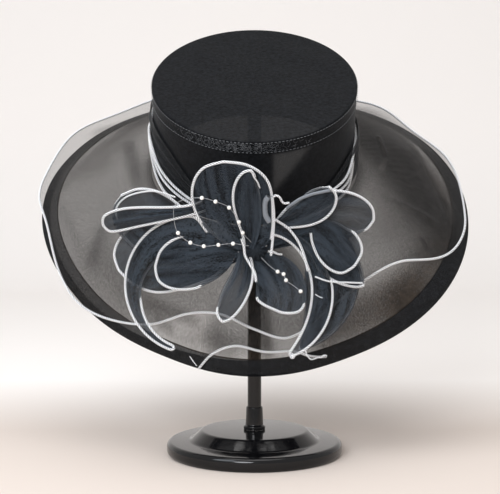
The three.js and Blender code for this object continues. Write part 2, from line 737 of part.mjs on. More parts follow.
function makeBowPiece(loop, knotClearance) {
  const tipEnd = 1 - LOOP_TIP_INSET / loop.length;
  const stalkRows = Math.hypot(loop.rootX, loop.rootZ) > KNOT.halfWidth ? 1 : 0;
  const rows = LOOP_ROWS + stalkRows;
  const inset = LOOP_INSET + LOOP_INSET_SHARE * loop.width;
  const cloth = clothSheet((u, v) => {
    const side = 2 * u - 1;
    if (v === 0 && stalkRows > 0) {
      return stalkPoint(loop, side, STALK_HALF_WIDTH - inset);
    }
    const t = tipEnd * Math.sin((Math.PI / 2) * ((v * rows - stalkRows) / LOOP_ROWS));
    return loopPoint(loop, t, side, inset);
  }, LOOP_COLUMNS, rows, BOW_CLOTH, false);
  const edge = (side) => {
    const stations = stalkRows > 0 ? [stalkPoint(loop, side, STALK_HALF_WIDTH)] : [];
    for (let i = 0; i < LOOP_ROWS; i += 1) {
      stations.push(loopPoint(loop, Math.sin((Math.PI / 2) * (i / LOOP_ROWS)), side, 0));
    }
    return stations;
  };
  const stations = [...edge(-1), loopPoint(loop, 1, 0, 0), ...edge(1).reverse()];
  const trim = (geometry) => largestBody(toSolid(geometry).subtract(knotClearance));
  return [
    namedMesh(loop.name, trim(cloth), 'organza'),
    namedMesh(`${loop.name}_cord`, trim(openCord(stations, CORD_RADIUS)), 'cord'),
  ];
}

function knotGeometry(clearance) {
  const ball = new THREE.SphereGeometry(1, 14, 8);
  ball.scale(KNOT.halfWidth + clearance, KNOT.halfDepth + clearance, KNOT.halfHeight + clearance);
  ball.translate(KNOT.x, KNOT.y, KNOT.z);
  return closedBody(ball);
}

function makeBeadStem(stem, knotClearance) {
  const stations = stem.wire.map(([x, z]) => new THREE.Vector3(
    KNOT.x + x,
    bowDepth(KNOT.x + x, KNOT.z + z, stem.level),
    KNOT.z + z,
  ));
  let solid = toSolid(openCord(stations, WIRE_RADIUS));
  for (const place of stem.pearls) {
    const pearl = new THREE.SphereGeometry(PEARL_RADIUS, PEARL_SIDES, PEARL_ROWS);
    pearl.translate(...stations[place].toArray());
    solid = solid.add(toSolid(pearl));
  }
  return namedMesh(stem.name, largestBody(solid.subtract(knotClearance)), 'pearl');
}

function makeBow() {
  const bow = new THREE.Group();
  const knotClearance = toSolid(knotGeometry(GAP));
  bow.add(namedMesh('bow_knot', knotGeometry(0), 'organza'));
  for (const loop of BOW_LOOPS) {
    bow.add(...makeBowPiece(loop, knotClearance));
  }
  for (const stem of BEAD_STEMS) {
    bow.add(makeBeadStem(stem, knotClearance));
  }
  return bow;
}

const hat = new THREE.Group();
hat.applyMatrix4(hatPlacement());
hat.add(...makeCrown(), ...makeBrim(), ...makeFlounce(), ...makeUnderFlounce(), ...makeHatBand());

const part = new THREE.Group();
part.add(makeStand(), hat, makeBow());

export default part;
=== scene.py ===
# Summer hat of sheer black organza with a corded bow, on a plain round display stand.
# Metres, +Z up, the front of the hat looks along -Y, origin in the middle of the stand's underside.
import math
import bpy
import numpy as np
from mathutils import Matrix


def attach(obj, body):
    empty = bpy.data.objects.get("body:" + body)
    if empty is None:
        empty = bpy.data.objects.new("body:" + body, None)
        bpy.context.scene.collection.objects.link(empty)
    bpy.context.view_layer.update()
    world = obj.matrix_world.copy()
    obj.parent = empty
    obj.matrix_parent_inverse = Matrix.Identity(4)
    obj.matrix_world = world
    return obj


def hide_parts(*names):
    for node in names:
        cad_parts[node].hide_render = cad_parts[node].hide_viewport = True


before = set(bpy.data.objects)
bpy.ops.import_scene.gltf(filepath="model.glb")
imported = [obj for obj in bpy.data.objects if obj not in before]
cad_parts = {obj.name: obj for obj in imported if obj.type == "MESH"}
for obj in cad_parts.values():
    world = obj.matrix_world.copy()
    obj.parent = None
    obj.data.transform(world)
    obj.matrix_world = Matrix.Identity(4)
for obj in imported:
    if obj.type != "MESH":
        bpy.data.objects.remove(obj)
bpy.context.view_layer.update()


# Camera: a short telephoto view, a little above the stand and looking slightly down.
CAMERA_PLACE = (-0.004, -1.150, 0.256)
CAMERA_PITCH = math.radians(3.45)
CAMERA_LENS = 92.6

camera_data = bpy.data.cameras.new("camera")
camera_data.lens = CAMERA_LENS
camera_data.sensor_width = 36
camera_data.clip_end = 20
camera = bpy.data.objects.new("camera", camera_data)
camera.location = CAMERA_PLACE
camera.rotation_euler = (math.pi / 2 - CAMERA_PITCH, 0, 0)
bpy.context.scene.collection.objects.link(camera)
bpy.context.scene.camera = camera


# Studio: one pale sheet that runs from the floor up into the wall, a bright even sky and three soft lights.
# The sheet is 6 m wide and turns from the floor's tone to the wall's just behind the stand.
def new_material(name):
    material = bpy.data.materials.new(name)
    material.use_nodes = True
    tree = material.node_tree
    return material, tree, tree.nodes["Principled BSDF"]


def feed(tree, node, inputs):
    """Sets inputs of a node; each is a number, a colour or the output of another node."""
    for socket, value in inputs.items():
        if isinstance(value, bpy.types.NodeSocket):
            tree.links.new(value, node.inputs[socket])
        else:
            node.inputs[socket].default_value = value


def add_node(tree, kind, inputs, output):
    node = tree.nodes.new("ShaderNode" + kind)
    feed(tree, node, inputs)
    return node.outputs[output]


def compute(tree, operation, *values, kind="Math"):
    node = tree.nodes.new("ShaderNode" + kind)
    node.operation = operation
    feed(tree, node, dict(enumerate(values)))
    return node.outputs[0]


def map_range(tree, source, start, end, low=0.0, high=1.0):
    """A number that goes from low to high as the source goes from start to end."""
    return add_node(tree, "MapRange", {
        "Value": source, "From Min": start, "From Max": end, "To Min": low, "To Max": high}, "Result")


def ramp(tree, source, low, high, start, end):
    """A colour that goes from low to high as the source goes from start to end."""
    colour = add_node(tree, "ValToRGB", {"Fac": source}, "Color")
    for stop, place, value in zip(colour.node.color_ramp.elements, (start, end), (low, high)):
        stop.position = place
        stop.color = (*value, 1)
    return colour


def noise(tree, scale, detail, source=None):
    inputs = {"Scale": scale, "Detail": detail}
    if source is not None:
        inputs["Vector"] = source
    return add_node(tree, "TexNoise", inputs, "Fac")


def grid_faces(rows, columns, ring=False, start=0):
    """Quads of a grid whose vertices run row by row; a ring joins its last column to its first."""
    across = columns if ring else columns + 1
    i, j = np.meshgrid(np.arange(columns), np.arange(rows), indexing="ij")
    here = (start + j * across + i).ravel()
    beside = (start + j * across + (i + 1) % across).ravel()
    return np.stack([here, beside, beside + across, here + across], axis=1).tolist()


def new_piece(name, vertices, faces, material, smooth=True):
    mesh = bpy.data.meshes.new(name)
    mesh.from_pydata(np.reshape(vertices, (-1, 3)).tolist(), [], faces)
    if smooth:
        mesh.shade_smooth()
    mesh.materials.append(material)
    piece = bpy.data.objects.new(name, mesh)
    bpy.context.scene.collection.objects.link(piece)
    return piece


def make_backdrop():
    width, front, back, rise, bend = 6.0, -2.2, 1.50, 3.0, 0.35
    floor_tone, wall_tone = (0.70, 0.62, 0.565), (0.965, 0.935, 0.915)
    floor_end, wall_start = 0.10, 0.42
    turn = np.linspace(0, math.pi / 2, 25)
    profile = [(front, 0.0)]
    profile += [(back + bend * math.sin(a), bend * (1 - math.cos(a))) for a in turn]
    profile += [(back + bend, rise)]
    places = [(x, y, z) for y, z in profile for x in (-width / 2, width / 2)]
    material, tree, shader = new_material("backdrop_paper")
    place = add_node(tree, "NewGeometry", {}, "Position")
    depth = add_node(tree, "SeparateXYZ", {0: place}, "Y")
    cloudy = compute(tree, "MULTIPLY_ADD", noise(tree, 3.0, 3.0), 0.10,
                     map_range(tree, depth, floor_end, wall_start))
    feed(tree, shader, {"Base Color": ramp(tree, cloudy, floor_tone, wall_tone, 0.05, 1.0), "Roughness": 0.9})
    new_piece("backdrop", places, grid_faces(len(profile) - 1, 1), material)


def make_lights():
    world = bpy.data.worlds.new("studio_sky")
    world.use_nodes = True
    sky = world.node_tree.nodes["Background"]
    sky.inputs["Color"].default_value = (1.0, 0.99, 0.98, 1)
    sky.inputs["Strength"].default_value = 0.60
    bpy.context.scene.world = world
    # name, place, tilt and turn in degrees, size across, power in watts, colour
    lights = [
        ("window_light", (-1.0, -1.0, 1.25), 55, -45, 0.9, 9, (0.86, 0.93, 1.0)),
        ("wall_light", (0.0, -0.6, 2.3), -14, 0, 2.0, 24, (1.0, 0.98, 0.97)),
        ("front_light", (-0.4, -1.5, 0.75), 70, -15, 0.7, 15, (0.95, 0.97, 1.0)),
    ]
    for name, place, tilt, turn, size, power, colour in lights:
        data = bpy.data.lights.new(name, "AREA")
        data.shape = "DISK"
        data.size = size
        data.energy = power
        data.color = colour
        light = bpy.data.objects.new(name, data)
        light.location = place
        light.rotation_euler = (math.radians(tilt), 0, math.radians(turn))
        bpy.context.scene.collection.objects.link(light)


make_backdrop()
make_lights()
bpy.context.scene.view_settings.view_transform = "Standard"
bpy.context.scene.cycles.transparent_max_bounces = 48


# Stand: a stepped round foot, a short sleeve and a slim post, all of polished black plastic.
# Foot 158 mm across and 22 mm high, post 12.4 mm thick, with a slanted round rest inside the crown.
BASE_RADIUS = 0.079
BASE_HEIGHT = 0.0125
PLATEAU_FOOT_RADIUS = 0.058
PLATEAU_RADIUS = 0.048
PLATEAU_HEIGHT = 0.022
POST_FOOT = PLATEAU_HEIGHT + 0.0003
SLEEVE_HEIGHT = 0.020
SLEEVE_FOOT_RADIUS = 0.00975
SLEEVE_TOP_RADIUS = 0.0074
SLEEVE_BORE = 0.0065
PLASTIC_DARK = (0.002, 0.002, 0.0025)
PLASTIC_DUSTY = (0.005, 0.005, 0.006)


def part_piece(name, vertices, faces, material, node, smooth=True):
    """A piece fixed to the part, in place of a node of the solids where one is given."""
    piece = new_piece(name, vertices, faces, material, smooth)
    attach(piece, "root")
    if node:
        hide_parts(node)
    return piece


def turned_piece(name, profile, sides, material, node):
    """A profile of radius and height turned about the Z axis; it starts and ends on the axis or closes."""
    profile = np.array(profile)
    closed = np.allclose(profile[0], profile[-1])
    rings = profile[:-1] if closed else profile
    turn = np.linspace(0, 2 * math.pi, sides, endpoint=False)
    places = np.stack(np.broadcast_arrays(
        rings[:, :1] * np.cos(turn), rings[:, :1] * np.sin(turn), rings[:, 1:]), axis=-1)
    faces = grid_faces(len(rings) - 1, sides, ring=True)
    if closed:
        last = (len(rings) - 1) * sides
        faces += [[last + k, last + (k + 1) % sides, (k + 1) % sides, k] for k in range(sides)]
    piece = part_piece(name, places, faces, material, node)
    piece.data.validate()
    merge = piece.modifiers.new("merge_axis", "WELD")
    merge.merge_threshold = 0.00001


def rounded(profile, radius, steps):
    """The profile with every inner corner rounded, so that edges catch a fine light line."""
    profile = [np.array(point) for point in profile]
    result = [profile[0]]
    for before, corner, after in zip(profile, profile[1:], profile[2:]):
        sides = [(end - corner, np.linalg.norm(end - corner)) for end in (before, after)]
        pull = min(radius, 0.45 * sides[0][1], 0.45 * sides[1][1])
        start, end = [corner + side / length * pull for side, length in sides]
        for s in np.linspace(0, 1, steps + 1):
            result.append((1 - s) ** 2 * start + 2 * s * (1 - s) * corner + s * s * end)
    result.append(profile[-1])
    return result


def bump(tree, height, strength, distance, normal=None):
    inputs = {"Height": height, "Strength": strength, "Distance": distance}
    if normal is not None:
        inputs["Normal"] = normal
    return add_node(tree, "Bump", inputs, "Normal")


def stand_plastic():
    material, tree, shader = new_material("stand_plastic")
    smears = noise(tree, 14.0, 3.0)
    feed(tree, shader, {
        "Base Color": ramp(tree, noise(tree, 40.0, 6.0), PLASTIC_DARK, PLASTIC_DUSTY, 0.35, 0.75),
        "Roughness": ramp(tree, smears, (0.06, 0.06, 0.06), (0.16, 0.16, 0.16), 0.3, 0.8),
        "Specular IOR Level": 0.36,
        "Normal": bump(tree, smears, 0.04, 0.0004),
    })
    return material


def make_stand():
    plastic = stand_plastic()
    base = rounded([
        (0, 0), (BASE_RADIUS - 0.002, 0), (BASE_RADIUS, 0.003), (BASE_RADIUS, BASE_HEIGHT - 0.003),
        (BASE_RADIUS - 0.0025, BASE_HEIGHT), (PLATEAU_FOOT_RADIUS, BASE_HEIGHT + 0.0003),
        (PLATEAU_RADIUS, PLATEAU_HEIGHT), (0, PLATEAU_HEIGHT),
    ], 0.002, 5)
    turned_piece("stand_foot", base, 144, plastic, "stand_base")
    foot, top = POST_FOOT, POST_FOOT + SLEEVE_HEIGHT
    sleeve = rounded([
        (SLEEVE_BORE, foot), (SLEEVE_FOOT_RADIUS, foot), (SLEEVE_FOOT_RADIUS, foot + 0.003),
        (0.008, foot + 0.004), (SLEEVE_TOP_RADIUS, top), (SLEEVE_BORE, top), (SLEEVE_BORE, foot),
    ], 0.0007, 4)
    turned_piece("stand_collar", sleeve, 64, plastic, "stand_sleeve")
    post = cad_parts["stand_post"]
    post.data.materials.clear()
    post.data.materials.append(plastic)


make_stand()


# Hat frame: the head seam is an oval 183 by 188 mm, and the whole hat leans 33 degrees forward.
# The brim curves out and down from the seam by a droop that changes round the hat.
CROWN_HALF_WIDTH = 0.0915
CROWN_HALF_DEPTH = 0.094
CROWN_HEIGHT = 0.090
CROWN_SLOPE = 0.004
HAT_TILT = math.radians(33)
TIP_HEIGHT = 0.334
BRIM_WIDTH = 0.124
BRIM_FRONT_EXTRA = 0.010
BRIM_CURL = 0.7
BRIM_DROOP = [
    (0, 53), (30, 54), (60, 35), (90, 25), (120, 20), (150, 20),
    (180, 23), (210, 21), (240, 21), (270, 26), (300, 45), (330, 58),
]


def read_table(rows, azimuth, ring=True):
    """Value of a table of azimuth and value at each azimuth in degrees, along a smooth curve."""
    knots = np.array(rows, float)
    if ring:
        knots = np.concatenate([knots[-2:] - (360, 0), knots, knots[:3] + (360, 0)])
        first = rows[0][0]
        azimuth = (np.asarray(azimuth, float) - first) % 360 + first
    else:
        knots = np.concatenate([knots[:1], knots, knots[-1:]])
        azimuth = np.clip(azimuth, rows[0][0], rows[-1][0])
    where, value = knots[:, 0], knots[:, 1]
    i = np.clip(np.searchsorted(where, azimuth, side="right") - 1, 1, len(where) - 3)
    span = where[i + 1] - where[i]
    t = (azimuth - where[i]) / span
    start_pull = (value[i + 1] - value[i - 1]) / (where[i + 1] - where[i - 1]) * span
    end_pull = (value[i + 2] - value[i]) / (where[i + 2] - where[i]) * span
    rise = t * t * (3 - 2 * t)
    return (value[i] * (1 - rise) + value[i + 1] * rise
            + start_pull * t * (1 - t) ** 2 - end_pull * t * t * (1 - t))


def hat_to_world(places):
    """Places in the hat's own frame, moved to where the leaning hat stands."""
    x, y, z = places[..., 0], places[..., 1], places[..., 2]
    c, s = math.cos(HAT_TILT), math.sin(HAT_TILT)
    seam_y = CROWN_HEIGHT * s
    seam_z = TIP_HEIGHT - CROWN_HEIGHT * c
    return np.stack([x, seam_y + y * c - z * s, seam_z + y * s + z * c], axis=-1)


def seam_place(azimuth, offset, height):
    """Place beside the crown: azimuth round it, offset out from its wall, height above the head seam."""
    angle = np.radians(azimuth)
    x = (CROWN_HALF_WIDTH + offset) * np.sin(angle)
    y = -(CROWN_HALF_DEPTH + offset) * np.cos(angle)
    return np.stack(np.broadcast_arrays(x, y, height), axis=-1)


def brim_width(azimuth):
    return BRIM_WIDTH + BRIM_FRONT_EXTRA * np.cos(np.radians(azimuth))


def brim_place(azimuth, reach, lift):
    """Place on the brim's curve in the hat's frame: reach out from the seam, lift off its surface."""
    angle = np.radians(azimuth)
    droop = np.radians(read_table(BRIM_DROOP, azimuth))
    start = droop * (1 - BRIM_CURL / 2)
    bend = droop * BRIM_CURL / brim_width(azimuth)
    slope = start + bend * reach
    run = (np.sin(slope) - np.sin(start)) / bend + lift * np.sin(slope)
    drop = (np.cos(start) - np.cos(slope)) / bend - lift * np.cos(slope)
    out_x = np.sin(angle) / CROWN_HALF_WIDTH
    out_y = -np.cos(angle) / CROWN_HALF_DEPTH
    size = np.hypot(out_x, out_y)
    seam = seam_place(azimuth, 0, 0.0)
    return np.stack(np.broadcast_arrays(
        seam[..., 0] + out_x / size * run, seam[..., 1] + out_y / size * run, -drop), axis=-1)


def point_values(piece, name, values):
    """Stores a number at each vertex, which the material reads."""
    field = piece.data.attributes.new(name, "FLOAT", "POINT")
    field.data.foreach_set("value", np.ravel(values).astype(np.float32))


def cloth_piece(name, places, weave, material, node, ring=False, layers=None):
    """A sheet of cloth from a grid of places; weave holds the thread directions in metres."""
    rows, across = places.shape[0] - 1, places.shape[1]
    columns = across if ring else across - 1
    piece = part_piece(name, places, grid_faces(rows, columns, ring), material, node)
    corner = np.empty(len(piece.data.loops), dtype=np.int32)
    piece.data.loops.foreach_get("vertex_index", corner)
    flat = ring_weave(weave, corner, rows, columns) if ring else weave.reshape(-1, 2)[corner]
    threads = piece.data.uv_layers.new(name="threads")
    threads.data.foreach_set("uv", flat.ravel().astype(np.float32))
    point_values(piece, "layers", np.ones(places.shape[:2]) if layers is None else layers)
    return piece


def ring_weave(weave, corner, rows, columns):
    """Thread directions of a ring's face corners, with the last column running on past the first."""
    flat = weave[:, :columns].reshape(-1, 2)[corner]
    faces_column = np.repeat(np.repeat(np.arange(columns), rows), 4)
    wraps = (faces_column == columns - 1) & (corner % columns == 0)
    flat[wraps] = weave[:, columns][corner[wraps] // columns]
    return flat


def plan_weave(hat_places):
    """Thread directions of a ring cut from flat cloth: its places seen from above, the first ones twice."""
    return np.concatenate([hat_places, hat_places[:, :1]], axis=1)[..., :2]


def round_grid(columns, rows):
    """Azimuths all round in a row, and shares from 0 to 1 in a column."""
    return np.linspace(0, 360, columns, endpoint=False)[None, :], np.linspace(0, 1, rows)[:, None]


def organza(name, colour, cover, crush, sheen=0.03, cloud=0.35, streak=0.0, gloss=0.12):
    """Sheer cloth: fine crossing threads with light between them, a silky sheen and soft crumples.

    One layer hides the share cover. Crush is the depth of its creases, cloud and streak say how much
    its tone changes in patches and along the cloth. Where they are strong, the lighter and darker
    patches and streaks are painted highlights and painted crease shade.
    """
    thread_pitch, slub = 0.0006, 0.20
    material, tree, shader = new_material(name)
    place = add_node(tree, "UVMap", {}, "UV")
    place.node.uv_map = "threads"
    waves = []
    for axis in ("X", "Y"):
        run = add_node(tree, "SeparateXYZ", {0: place}, axis)
        wave = compute(tree, "SINE", compute(tree, "MULTIPLY", run, math.pi / thread_pitch))
        waves.append(compute(tree, "ABSOLUTE", wave))
    threads = compute(tree, "MAXIMUM", *waves)
    patches = []
    for stretch, detail in (((170, 24, 1), 3.0), ((1700, 520, 1), 1.0), ((520, 1700, 1), 1.0)):
        stretched = compute(tree, "MULTIPLY", place, stretch, kind="VectorMath")
        patches.append(noise(tree, 1.0, detail, stretched))
    # Painted highlights and crease shade: the tone runs lighter and darker in streaks along the cloth and in
    # patches.
    tone = compute(tree, "MULTIPLY_ADD", patches[0], streak, noise(tree, 60.0, 5.0))
    dark = tuple((1 - cloud) * c for c in colour)
    light = tuple((1 + cloud) * c for c in colour)
    open_share = map_range(tree, threads, 0.5, 1.0, min(1.0, (1 - cover) * 1.25), (1 - cover) * 0.82)
    uneven = map_range(tree, compute(tree, "ADD", *patches[1:]), 0.7, 1.3, 1 - slub, 1 + slub)
    layers = add_node(tree, "Attribute", {}, "Fac")
    layers.node.attribute_name = "layers"
    through = compute(tree, "POWER", compute(tree, "MULTIPLY", open_share, uneven), layers)
    creases = bump(tree, noise(tree, 130.0, 3.0), crush, 0.002)
    feed(tree, shader, {
        "Base Color": ramp(tree, tone, dark, light, 0.34 + streak / 2, 0.66 + streak / 2),
        "Alpha": compute(tree, "SUBTRACT", 1.0, through),
        "Normal": bump(tree, threads, 0.25, 0.0002, creases),
        "Roughness": 0.5,
        "Specular IOR Level": gloss,
        "Sheen Weight": sheen,
        "Sheen Roughness": 0.4,
        "Sheen Tint": (0.72, 0.82, 1.0, 1),
    })
    return material


# Brim: one layer of sheer organza from the head seam to the edge band, cut 124 to 134 mm wide.
# It keeps the frame's curve, with a faint waviness that organza has between the seam and the wire.
# Where the cloth overlaps itself it lets less light through, most on the left side of the wearer.
BRIM_COLUMNS = 240
BRIM_START = 0.0004
BRIM_RIPPLE = 0.0005
BRIM_SEAM_WIDTH = 0.008
SEAM_EXTRA_LAYERS = 1.2
EDGE_BAND_WIDTH = 0.0175
EDGE_BAND_SIDE_EXTRA = 0.0015
BRIM_COLOUR = (0.0230, 0.0170, 0.0125)
# Overlaps of the cloth as soft lines: azimuth and reach of one end and of the other, width, extra layers
# and lift. Reach, width and lift are in millimetres.
BRIM_FOLDS = [
    (130, 50, 80, 75, 55, 1.3, 0), (24, 101, 50, 109, 23, 1.9, 0), (50, 109, 76, 111, 21, 1.8, 0),
    (205, 100, 262, 104, 12, 0.35, 0), (150, 90, 210, 90, 50, 1.2, 0), (1, 40, 4, 120, 6.2, 1.4, 0),
    (319, 92, 342, 92, 6, 0.7, 0), (324, 100, 333, 106, 6, 0.6, 0), (334, 112, 8, 112, 8, 0.35, 0),
    (8, 20, 16, 50, 12, 1.2, 0), (296, 85, 318, 90, 20, 0.4, 0), (125, 50, 88, 82, 28, 1.8, 0),
    (346, 98, 352, 112, 12, 0.4, 0), (222, 78, 255, 70, 22, 0.45, 0),
]
NARROW_FOLD = 8.5


def edge_band_width(azimuth):
    return EDGE_BAND_WIDTH - EDGE_BAND_SIDE_EXTRA * np.cos(2 * np.radians(azimuth))


def fold_sum(folds, azimuth, reach):
    """Extra layers and lift of soft folds at each place of the brim; narrow folds thin out at their ends."""
    azimuth, reach = np.broadcast_arrays(azimuth, reach)

    def plan(turn, out):
        out = CROWN_HALF_WIDTH + out
        return np.stack([out * np.sin(np.radians(turn)), out * np.cos(np.radians(turn))], axis=-1)

    here = plan(azimuth, reach)
    extra, lift = np.zeros(azimuth.shape), np.zeros(azimuth.shape)
    for turn_one, reach_one, turn_two, reach_two, width, fold_layers, fold_lift in folds:
        start = plan(turn_one, reach_one / 1000)
        line = plan(turn_two, reach_two / 1000) - start
        share = np.clip((here - start) @ line / (line @ line), 0, 1)
        away = np.linalg.norm(here - start - share[..., None] * line, axis=-1)
        strength = np.exp(-(1000 * away / width) ** 2.2)
        if width < NARROW_FOLD:
            strength *= 1 - 0.85 * (2 * share - 1) ** 4
        extra += fold_layers * strength
        lift += fold_lift / 1000 * strength
    return extra, lift


def seam_layers(reach, width):
    """Extra layers of the gathers close to the head seam."""
    return SEAM_EXTRA_LAYERS * np.exp(-(reach / width) ** 2)


def make_brim():
    azimuth, share = round_grid(BRIM_COLUMNS, 31)
    end = brim_width(azimuth) - edge_band_width(azimuth) + 0.001
    reach = BRIM_START + (end - BRIM_START) * share
    ripple = BRIM_RIPPLE * np.sin(np.radians(13 * azimuth) + 2 * share) * np.sin(math.pi * share)
    hat_places = brim_place(azimuth, reach, ripple)
    places = hat_to_world(hat_places)
    layers = 1 + fold_sum(BRIM_FOLDS, azimuth, reach)[0] + seam_layers(reach, BRIM_SEAM_WIDTH)
    material = organza("brim_organza", BRIM_COLOUR, 0.61, crush=0.05)
    piece = cloth_piece("brim_cloth", places, plan_weave(hat_places), material, "brim",
                        ring=True, layers=layers)


make_brim()


# Edge band: organza folded over the wired edge, nearly opaque. The under face is 16 to 19 mm wide.
# The upper face is nearly as wide, but only half of that in front on the right side of the wearer.
EDGE_BAND_COLOUR = (0.0070, 0.0078, 0.0092)
EDGE_BAND_UPPER_SHARE = [
    (0, 0.95), (60, 1.0), (120, 0.95), (180, 0.95), (230, 0.85), (262, 0.58), (300, 0.50), (325, 0.60),
    (345, 0.88),
]
EDGE_ROLL_RADIUS = 0.0009


def make_edge_band():
    azimuth, face = round_grid(BRIM_COLUMNS, 7)
    band = edge_band_width(azimuth)
    upper = band * read_table(EDGE_BAND_UPPER_SHARE, azimuth) + 0.0004 * np.sin(np.radians(7 * azimuth))
    edge = brim_width(azimuth)
    turn = np.linspace(math.pi / 2, -math.pi / 2, 7)[:, None]
    roll = EDGE_ROLL_RADIUS
    reach = np.concatenate([
        edge - upper + (upper - roll) * face, edge - roll + roll * np.cos(turn),
        edge - band + (band - roll) * face[::-1]])
    lift = np.concatenate([roll + 0 * face, roll * np.sin(turn), -roll + 0 * face])
    hat_places = brim_place(azimuth, reach, lift)
    places = hat_to_world(hat_places)
    material = organza("brim_edge_cloth", EDGE_BAND_COLOUR, 0.93, crush=0.08)
    piece = cloth_piece("edge_band", places, plan_weave(hat_places), material, "brim_edge_band",
                        ring=True)


make_edge_band()


# Cords: white twisted cord 2.5 mm thick, three plies that turn once in 7 mm, sewn along cloth edges.
CORD_RADIUS = 0.00125
CORD_STEP = 0.001
CORD_TWIST = 0.0070


def smooth_route(stations, closed=False, step=CORD_STEP):
    """Evenly spaced places along a smooth curve through the stations."""
    stations = np.asarray(stations, float)
    if closed:
        padded = np.concatenate([stations[-1:], stations, stations[:2]])
    else:
        first = 2 * stations[0] - stations[1]
        last = 2 * stations[-1] - stations[-2]
        padded = np.concatenate([[first], stations, [last]])
    t = np.linspace(0, 1, 16, endpoint=False)[:, None]
    runs = []
    for p0, p1, p2, p3 in zip(padded, padded[1:], padded[2:], padded[3:]):
        runs.append(0.5 * (2 * p1 + (p2 - p0) * t + (2 * p0 - 5 * p1 + 4 * p2 - p3) * t ** 2
                           + (3 * p1 - p0 - 3 * p2 + p3) * t ** 3))
    line = np.concatenate(runs + [padded[-2:-1]])
    gone = np.concatenate([[0], np.cumsum(np.linalg.norm(np.diff(line, axis=0), axis=1))])
    count = max(8, int(round(gone[-1] / step)))
    even = np.linspace(0, gone[-1], count + 1)
    places = np.stack([np.interp(even, gone, line[:, k]) for k in range(3)], axis=1)
    return places[:-1] if closed else places


def route_frames(places, closed):
    """Two directions across the route at each place, turning as little as possible along it."""
    if closed:
        along = np.roll(places, -1, axis=0) - np.roll(places, 1, axis=0)
    else:
        along = np.gradient(places, axis=0)
    along /= np.linalg.norm(along, axis=1)[:, None]
    one = np.empty_like(places)
    start = np.cross(along[0], (0.3, 0.5, 0.8))
    one[0] = start / np.linalg.norm(start)
    for k in range(1, len(places)):
        side = one[k - 1] - along[k] * (one[k - 1] @ along[k])
        one[k] = side / np.linalg.norm(side)
    two = np.cross(along, one)
    return one, two


def twisted_cord(name, places, radius, material, node=None, closed=False, plies=3, sides=6):
    """A cord of plies twisted round each other along the route."""
    one, two = route_frames(places, closed)
    count = len(places)
    length = count * CORD_STEP
    gone = np.arange(count) * CORD_STEP
    slip, turns = 0.0, length / CORD_TWIST
    if closed:
        along = np.cross(two[0], one[0])
        over = one[-1] - along * (one[-1] @ along)
        slip, turns = math.atan2(over @ two[0], over @ one[0]), round(turns)
    spin = (2 * math.pi * turns - slip) * gone / length
    ply_radius = radius * 0.53
    corner = np.linspace(0, 2 * math.pi, sides, endpoint=False)

    def around(angle):
        return np.cos(angle)[..., None] * one[:, None] + np.sin(angle)[..., None] * two[:, None]

    vertices, faces, crests = [], [], []
    for ply in range(plies):
        phase = (spin + 2 * math.pi * ply / plies)[:, None]
        ring = places[:, None] + (radius - ply_radius) * around(phase) + ply_radius * around(corner + phase)
        vertices.append(ring)
        crests.append(np.linalg.norm(ring - places[:, None], axis=2) / radius)
        offset = ply * count * sides
        last = offset + (count - 1) * sides
        faces += grid_faces(count - 1, sides, ring=True, start=offset)
        if closed:
            k = np.arange(sides)
            shift = int(round(sides * (spin[-1] + (spin[1] - spin[0]) + slip) / (2 * math.pi))) % sides
            faces += np.stack([last + k, last + (k + 1) % sides, offset + (k + 1 + shift) % sides,
                               offset + (k + shift) % sides], axis=1).tolist()
        else:
            faces.append(list(range(offset + sides - 1, offset - 1, -1)))
            faces.append(list(range(last, last + sides)))
    piece = part_piece(name, vertices, faces, material, node)
    point_values(piece, "crest", crests)
    return piece


def white_cord(name, groove_shade, top):
    """Cord finish: bright on top of the plies, with painted shade in the grooves between them."""
    material, tree, shader = new_material(name)
    fibres = noise(tree, 900.0, 3.0)
    crest = add_node(tree, "Attribute", {}, "Fac")
    crest.node.attribute_name = "crest"
    # Painted shade: the colour darkens from the crest of each ply down into the grooves.
    feed(tree, shader, {
        "Base Color": ramp(tree, compute(tree, "MULTIPLY_ADD", fibres, 0.25, crest), groove_shade, top, 0.84, 1.01),
        "Normal": bump(tree, fibres, 0.3, 0.0003),
        "Roughness": 0.6,
        "Sheen Weight": 0.3,
    })
    return material


WHITE_CORD = white_cord("white_cord", (0.08, 0.10, 0.14), (0.98, 0.985, 0.995))


# Flounce: a single soft layer over the brim, its reach measured along the brim from the head seam.
# The edge lifts about 10 mm and waves, and the white cord is sewn all round it.
FLOUNCE_START = 0.0030
FLOUNCE_BASE_LIFT = 0.003
FLOUNCE_EDGE_LIFT = 0.010
FLOUNCE_RIPPLE = 0.002
FLOUNCE_RIPPLES = 11
FLOUNCE_COLOUR = (0.0150, 0.0140, 0.0135)
FLOUNCE_SEAM_WIDTH = 0.010
# Gathers that lie over each other, as soft lines like the brim's. More layers darken a line. Fewer layers
# pale a line: these pale lines are painted highlights, on lit crests of the cloth and along a lit strip near
# its edge.
FLOUNCE_FOLDS = [
    (244, 46, 288, 18, 6.5, 1.5, 3), (236, 93, 225, 56, 12, 0.7, 0), (292, 60, 300, 94, 8, 0.8, 2),
    (290, 50, 294, 66, 6, 0.5, 1), (271, 98, 294, 92, 5, 0.3, 0), (135, 62, 112, 66, 26, 2, 1),
    (115, 34, 78, 78, 24, 2.8, 1.5), (106, 60, 84, 78, 12, 1.2, 1), (72, 32, 73, 90, 5, 0.8, 2),
    (117, 42, 100, 34, 2.2, -3.6, 3), (99, 34, 89, 26, 2.8, -3, 3), (113, 75, 102, 80, 3.5, -2.4, 2),
    (102, 80, 92, 88, 4.5, -3.2, 2.5), (92, 88, 85, 93, 3.5, -3.2, 2.5), (85, 87, 75, 96, 2.2, 3, -1),
    (65, 77, 63, 91, 1.5, 2.6, 1.5), (45, 30, 60, 60, 15, 0.25, 0),
]
